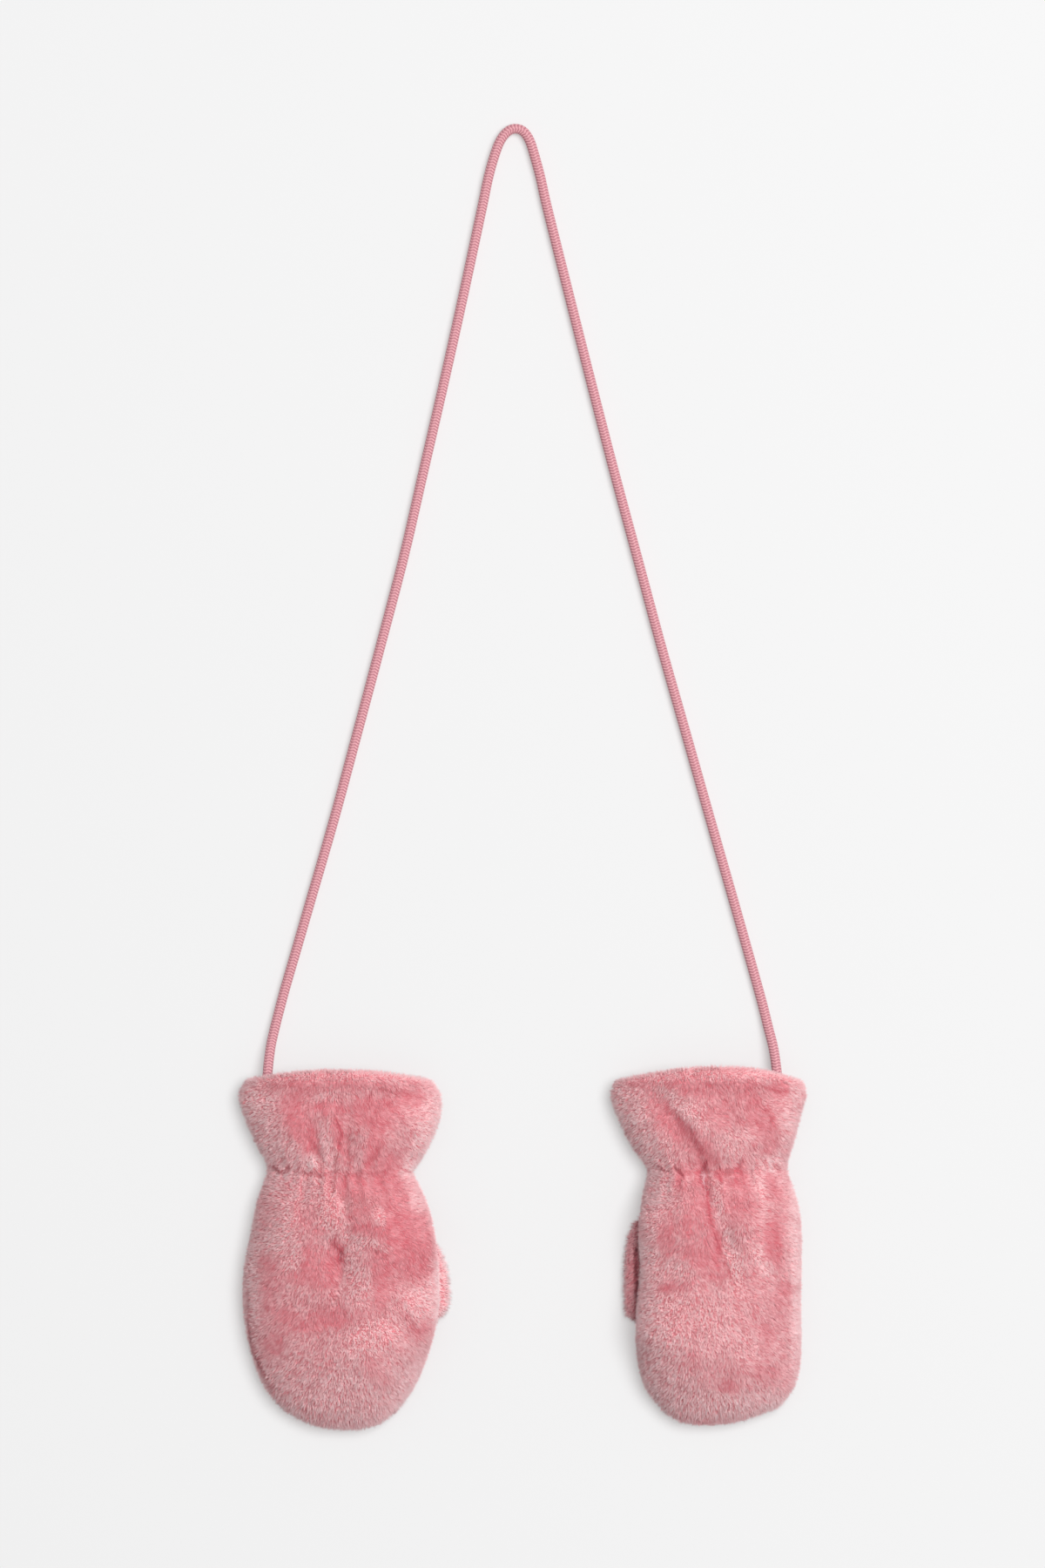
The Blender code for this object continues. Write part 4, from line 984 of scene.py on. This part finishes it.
def one_bundle():
    """Points and faces of a tapering bundle of fibres that is 1 wide and 1 long."""
    shape = bmesh.new()
    bmesh.ops.create_cone(shape, segments=3, radius1=0.5, radius2=0, depth=1, cap_ends=False)
    bmesh.ops.remove_doubles(shape, verts=shape.verts, dist=1e-5)
    shape.verts.index_update()
    points = np.array([v.co for v in shape.verts]) + (0, 0, 0.5)
    faces = np.array([[v.index for v in f.verts] for f in shape.faces])
    shape.free()
    return points, faces


bundle_points, bundle_faces = one_bundle()


def bundles(root, tip, edge, width, dice):
    """The points of every bundle from its root to its tip, and how far each faces out of it."""
    run = tip - root
    forward = unit(run)
    sideways = unit(np.cross(forward, ANY_WAY))
    third = np.cross(forward, sideways)
    spin = dice.uniform(0, 2 * math.pi, len(root))[:, None]
    first = np.cos(spin) * sideways + np.sin(spin) * third
    second = np.cross(forward, first)
    shape = bundle_points[None, :, :, None]
    wide = width * dice.uniform(*WIDTH_SPREAD, (len(root), 1)) * (1 - RIM_THINNER * edge)[:, None]
    made = (
        root[:, None]
        + shape[:, :, 0] * (first * wide)[:, None]
        + shape[:, :, 1] * (second * wide)[:, None]
        + shape[:, :, 2] * run[:, None]
    )
    made[:, :, 2] = np.maximum(made[:, :, 2], FIBRE_FLOOR)
    out = shape[:, :, 0] * first[:, None] + shape[:, :, 1] * second[:, None]
    return made, out * SIDES_FACE + shape[:, :, 2] * forward[:, None]


def mesh_of(name, made):
    """One mesh of all the bundles."""
    faces = bundle_faces[None] + (np.arange(len(made)) * len(bundle_points))[:, None, None]
    pile = bpy.data.meshes.new(name)
    pile.vertices.add(made.size // 3)
    pile.vertices.foreach_set("co", (made * MM).astype(np.float32).ravel())
    pile.loops.add(faces.size)
    pile.loops.foreach_set("vertex_index", faces.astype(np.int32).ravel())
    pile.polygons.add(faces.size // 3)
    pile.polygons.foreach_set("loop_start", np.arange(0, faces.size, 3, dtype=np.int32))
    pile.update(calc_edges=True)
    return pile


# A fibre's lightness is its own random tone and mottle, with painted light on the standing pile,
# on swells and at the rims, and painted shade in the gaps between tufts and in creases, down to
# painted shadow in the deepest ones
LIGHT_SPREAD = 0.14  # from fibre to fibre
FROST_LIGHT = 0.16
TUFT_SHADE = ByFrost(0.14, 1.3)  # how much darker the fibres get away from their tuft's middle
MEAN_AWAY = 0.42  # how far from it they are neither lighter nor darker
GAP_SHADE = 1.2  # and how much more in the gaps between standing tufts,
GAP_FROM = 0.6  # which begin so far from it
TUFT_TONE = ByFrost(0.17, 0.26)  # how much one tuft differs from the next
MOTTLE = Waves(1, 2.2, 8)
MOTTLE_LIGHT = 0.28  # how uneven that makes the light
CREASE_LIGHT = 0.45
CREASE_LIGHT_REACH = 0.8  # past this depth it gets no more
RIM_LIGHT = 0.35
DARK_FROM = 0.55  # from this depth on a crease turns dark,
DARK_OVER = 1.5  # and is wholly dark so much deeper


def light_of(nap, tuft, calm, dice):
    """How light each fibre is painted, from 0 to 1, and below 0 down to -1 in the painted shadow
    of a deep crease.
    """
    light = dice.normal(0.5, LIGHT_SPREAD, len(nap.x)) + FROST_LIGHT * nap.frost
    light = light - by_frost(TUFT_SHADE, nap.frost) * calm * (tuft.away - MEAN_AWAY)
    light = light - GAP_SHADE * nap.frost * calm * np.clip(tuft.away - GAP_FROM, 0, 1)
    mottle = MOTTLE_LIGHT * calm * waves_at(nap.x, nap.y, MOTTLE)
    light = light + by_frost(TUFT_TONE, nap.frost) * calm * tuft.tone + mottle
    creases = np.clip(nap.creases, -CREASE_LIGHT_REACH, CREASE_LIGHT_REACH)
    light = light - CREASE_LIGHT * creases + RIM_LIGHT * nap.edge
    dark = np.clip((nap.creases - DARK_FROM) / DARK_OVER, 0, 1)
    return np.clip(light, 0, 1) * (1 - dark) - dark


BAKE_MARGIN = 0.08  # between the bundles' places in the bake, over the width of one


def give_places(pile, count):
    """A place of its own in the bake's square for each bundle, all of whose faces share it."""
    across = math.ceil(math.sqrt(count))
    low, high = BAKE_MARGIN, 1 - BAKE_MARGIN
    cell = np.stack([np.arange(count) % across, np.arange(count) // across], 1) / across
    corner = np.array([[low, low], [high, low], [0.5, high]]) / across
    places = cell[:, None, None] + corner[None, None] + np.zeros((1, len(bundle_faces), 1, 2))
    places = np.clip(places, 0, 1).astype(np.float32)
    pile.uv_layers.new(name="OFBake").data.foreach_set("uv", places.ravel())


SOFTNESS = 0.72  # how far the fibres shade as one soft surface and not one by one
TUFT_ROUNDNESS = 0.6  # how far the fibres of a tuft shade as one small round swell
SWELL_ALONG = 0.5  # and how much less so along the mitten
LEAN_SHADE = 0.35
RIM_GLOW = 1.0  # how much light the pile at the rims lets through


def facing_of(out, nap, tuft, upward):
    """Which way each point faces the light: between the fibre's own, the skin's and the tuft's."""
    facing = out * (1 - SOFTNESS) + nap.normal[:, None] * SOFTNESS
    swell = TUFT_ROUNDNESS * by_frost(TUFTING, nap.frost) * upward
    facing[:, :, :2] -= (swell[:, None] * tuft.middle * (1, SWELL_ALONG))[:, None]
    facing[:, :, :2] += (LEAN_SHADE * swell[:, None] * tuft.lean)[:, None]
    facing[:, :, 2] += (RIM_GLOW * np.clip(1 - abs(nap.normal[:, 2]), 0, 1))[:, None]
    return unit(facing.reshape(-1, 3))


WHOLE = (-200, 200)  # from beyond the fingertips to beyond the mouth


def pile_on(name, panel, skin, side, count, seed, between=WHOLE, width=TUFT_WIDTH):
    """The pile of a panel as thousands of small tapering bundles of fibres in one mesh."""
    dice = np.random.default_rng(seed)
    root, normal, depth = roots_on(panel, skin, count, dice, between)
    nap = nap_at(root, normal, depth, side)
    tip = tips_of(root, depth, nap, dice)
    tuft = nearest_tuft(nap.x, nap.y, seed)
    calm = calm_share(nap)
    upward = np.clip(normal[:, 2] + UPWARD_FROM, 0, 1) * calm
    draw_together(tip, nap, tuft, upward)
    root[:, 2] = np.maximum(root[:, 2], ROOT_FLOOR)
    made, out = bundles(root, tip, nap.edge, width, dice)
    pile = mesh_of(name, made)

    height = np.broadcast_to(bundle_points[:, 2], made.shape[:2])
    light = light_of(nap, tuft, calm, dice)
    tones = np.stack([height, nap.frost[:, None] + 0 * height, light[:, None] + 0 * height], 2)
    stored = pile.attributes.new("pile", "FLOAT_VECTOR", "POINT")
    stored.data.foreach_set("vector", tones.astype(np.float32).ravel())
    give_places(pile, count)
    pile.shade_smooth()
    pile.normals_split_custom_set_from_vertices(facing_of(out, nap, tuft, upward))
    pile.materials.append(pile_finish.material)
    fur = bpy.data.objects.new(name, pile)
    bpy.context.collection.objects.link(fur)
    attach(fur, "root")
    return fur


# A panel's flat width and length in metres, its area in square metres, and its pile's seed
Cut = namedtuple("Cut", "flat area seed")
BACKS = {
    "left": Cut((0.0920, 0.1625), 0.01377, 4),
    "right": Cut((0.0902, 0.1614), 0.01279, 5),
}
HAND_FIBRES = 64000
CUFF_FIBRES = 36000
HAND = (WHOLE[0], WRIST_Y)
CUFF = (WRIST_Y, WHOLE[1])
CUFF_SEED = 10  # over the hand's
mitten_walls = {}
for side, cut in BACKS.items():
    node = f"{side}_back"
    mitten_walls[side] = walls_of([node, f"{side}_palm"])
    ground, skin = ground_panel(f"{node}_plush", node, side, 1, mitten_walls[side])
    hand = pile_on(f"{node}_pile_hand", ground, skin, side, HAND_FIBRES, cut.seed, HAND)
    seed = cut.seed + CUFF_SEED
    cuff = pile_on(f"{node}_pile_cuff", ground, skin, side, CUFF_FIBRES, seed, CUFF)


# ---------------------------------------------------------------- palms
# The palm is cut to the same outline and sewn to the back all round but for the mouth. It carries
# the same pile, which the mitten's weight presses flat where it lies on the table.

PALMS = {
    "left": Cut((0.0895, 0.1617), 0.01283, 24),
    "right": Cut((0.0868, 0.1602), 0.01181, 25),
}
PALM_FIBRES = 17000
PALM_TUFT = 0.7
for side, cut in PALMS.items():
    node = f"{side}_palm"
    ground, skin = ground_panel(f"{node}_plush", node, side, 1, mitten_walls[side])
    fur = pile_on(f"{node}_pile", ground, skin, side, PALM_FIBRES, cut.seed, width=PALM_TUFT)


# ---------------------------------------------------------------- thumbs
# Each thumb is a small bag of two halves, sewn into a slit of the palm. It lies folded under the
# hand, and only its rounded side looks out.

THUMBS = {
    "left_thumb_inner": Cut((0.0335, 0.0462), 0.00137, 59),
    "left_thumb_outer": Cut((0.0335, 0.0554), 0.00160, 60),
    "right_thumb_inner": Cut((0.0332, 0.0479), 0.00140, 60),
    "right_thumb_outer": Cut((0.0332, 0.0575), 0.00166, 61),
}
THUMB_FIBRES = 3800
THUMB_TUFT = 0.55
for side in ("left", "right"):
    thumb_walls = walls_of([f"{side}_thumb_inner", f"{side}_thumb_outer"])
    for half in ("inner", "outer"):
        node = f"{side}_thumb_{half}"
        cut = THUMBS[node]
        ground, skin = ground_panel(f"{node}_plush", node, side, 2, thumb_walls)
        fur = pile_on(f"{node}_pile", ground, skin, side, THUMB_FIBRES, cut.seed, width=THUMB_TUFT)
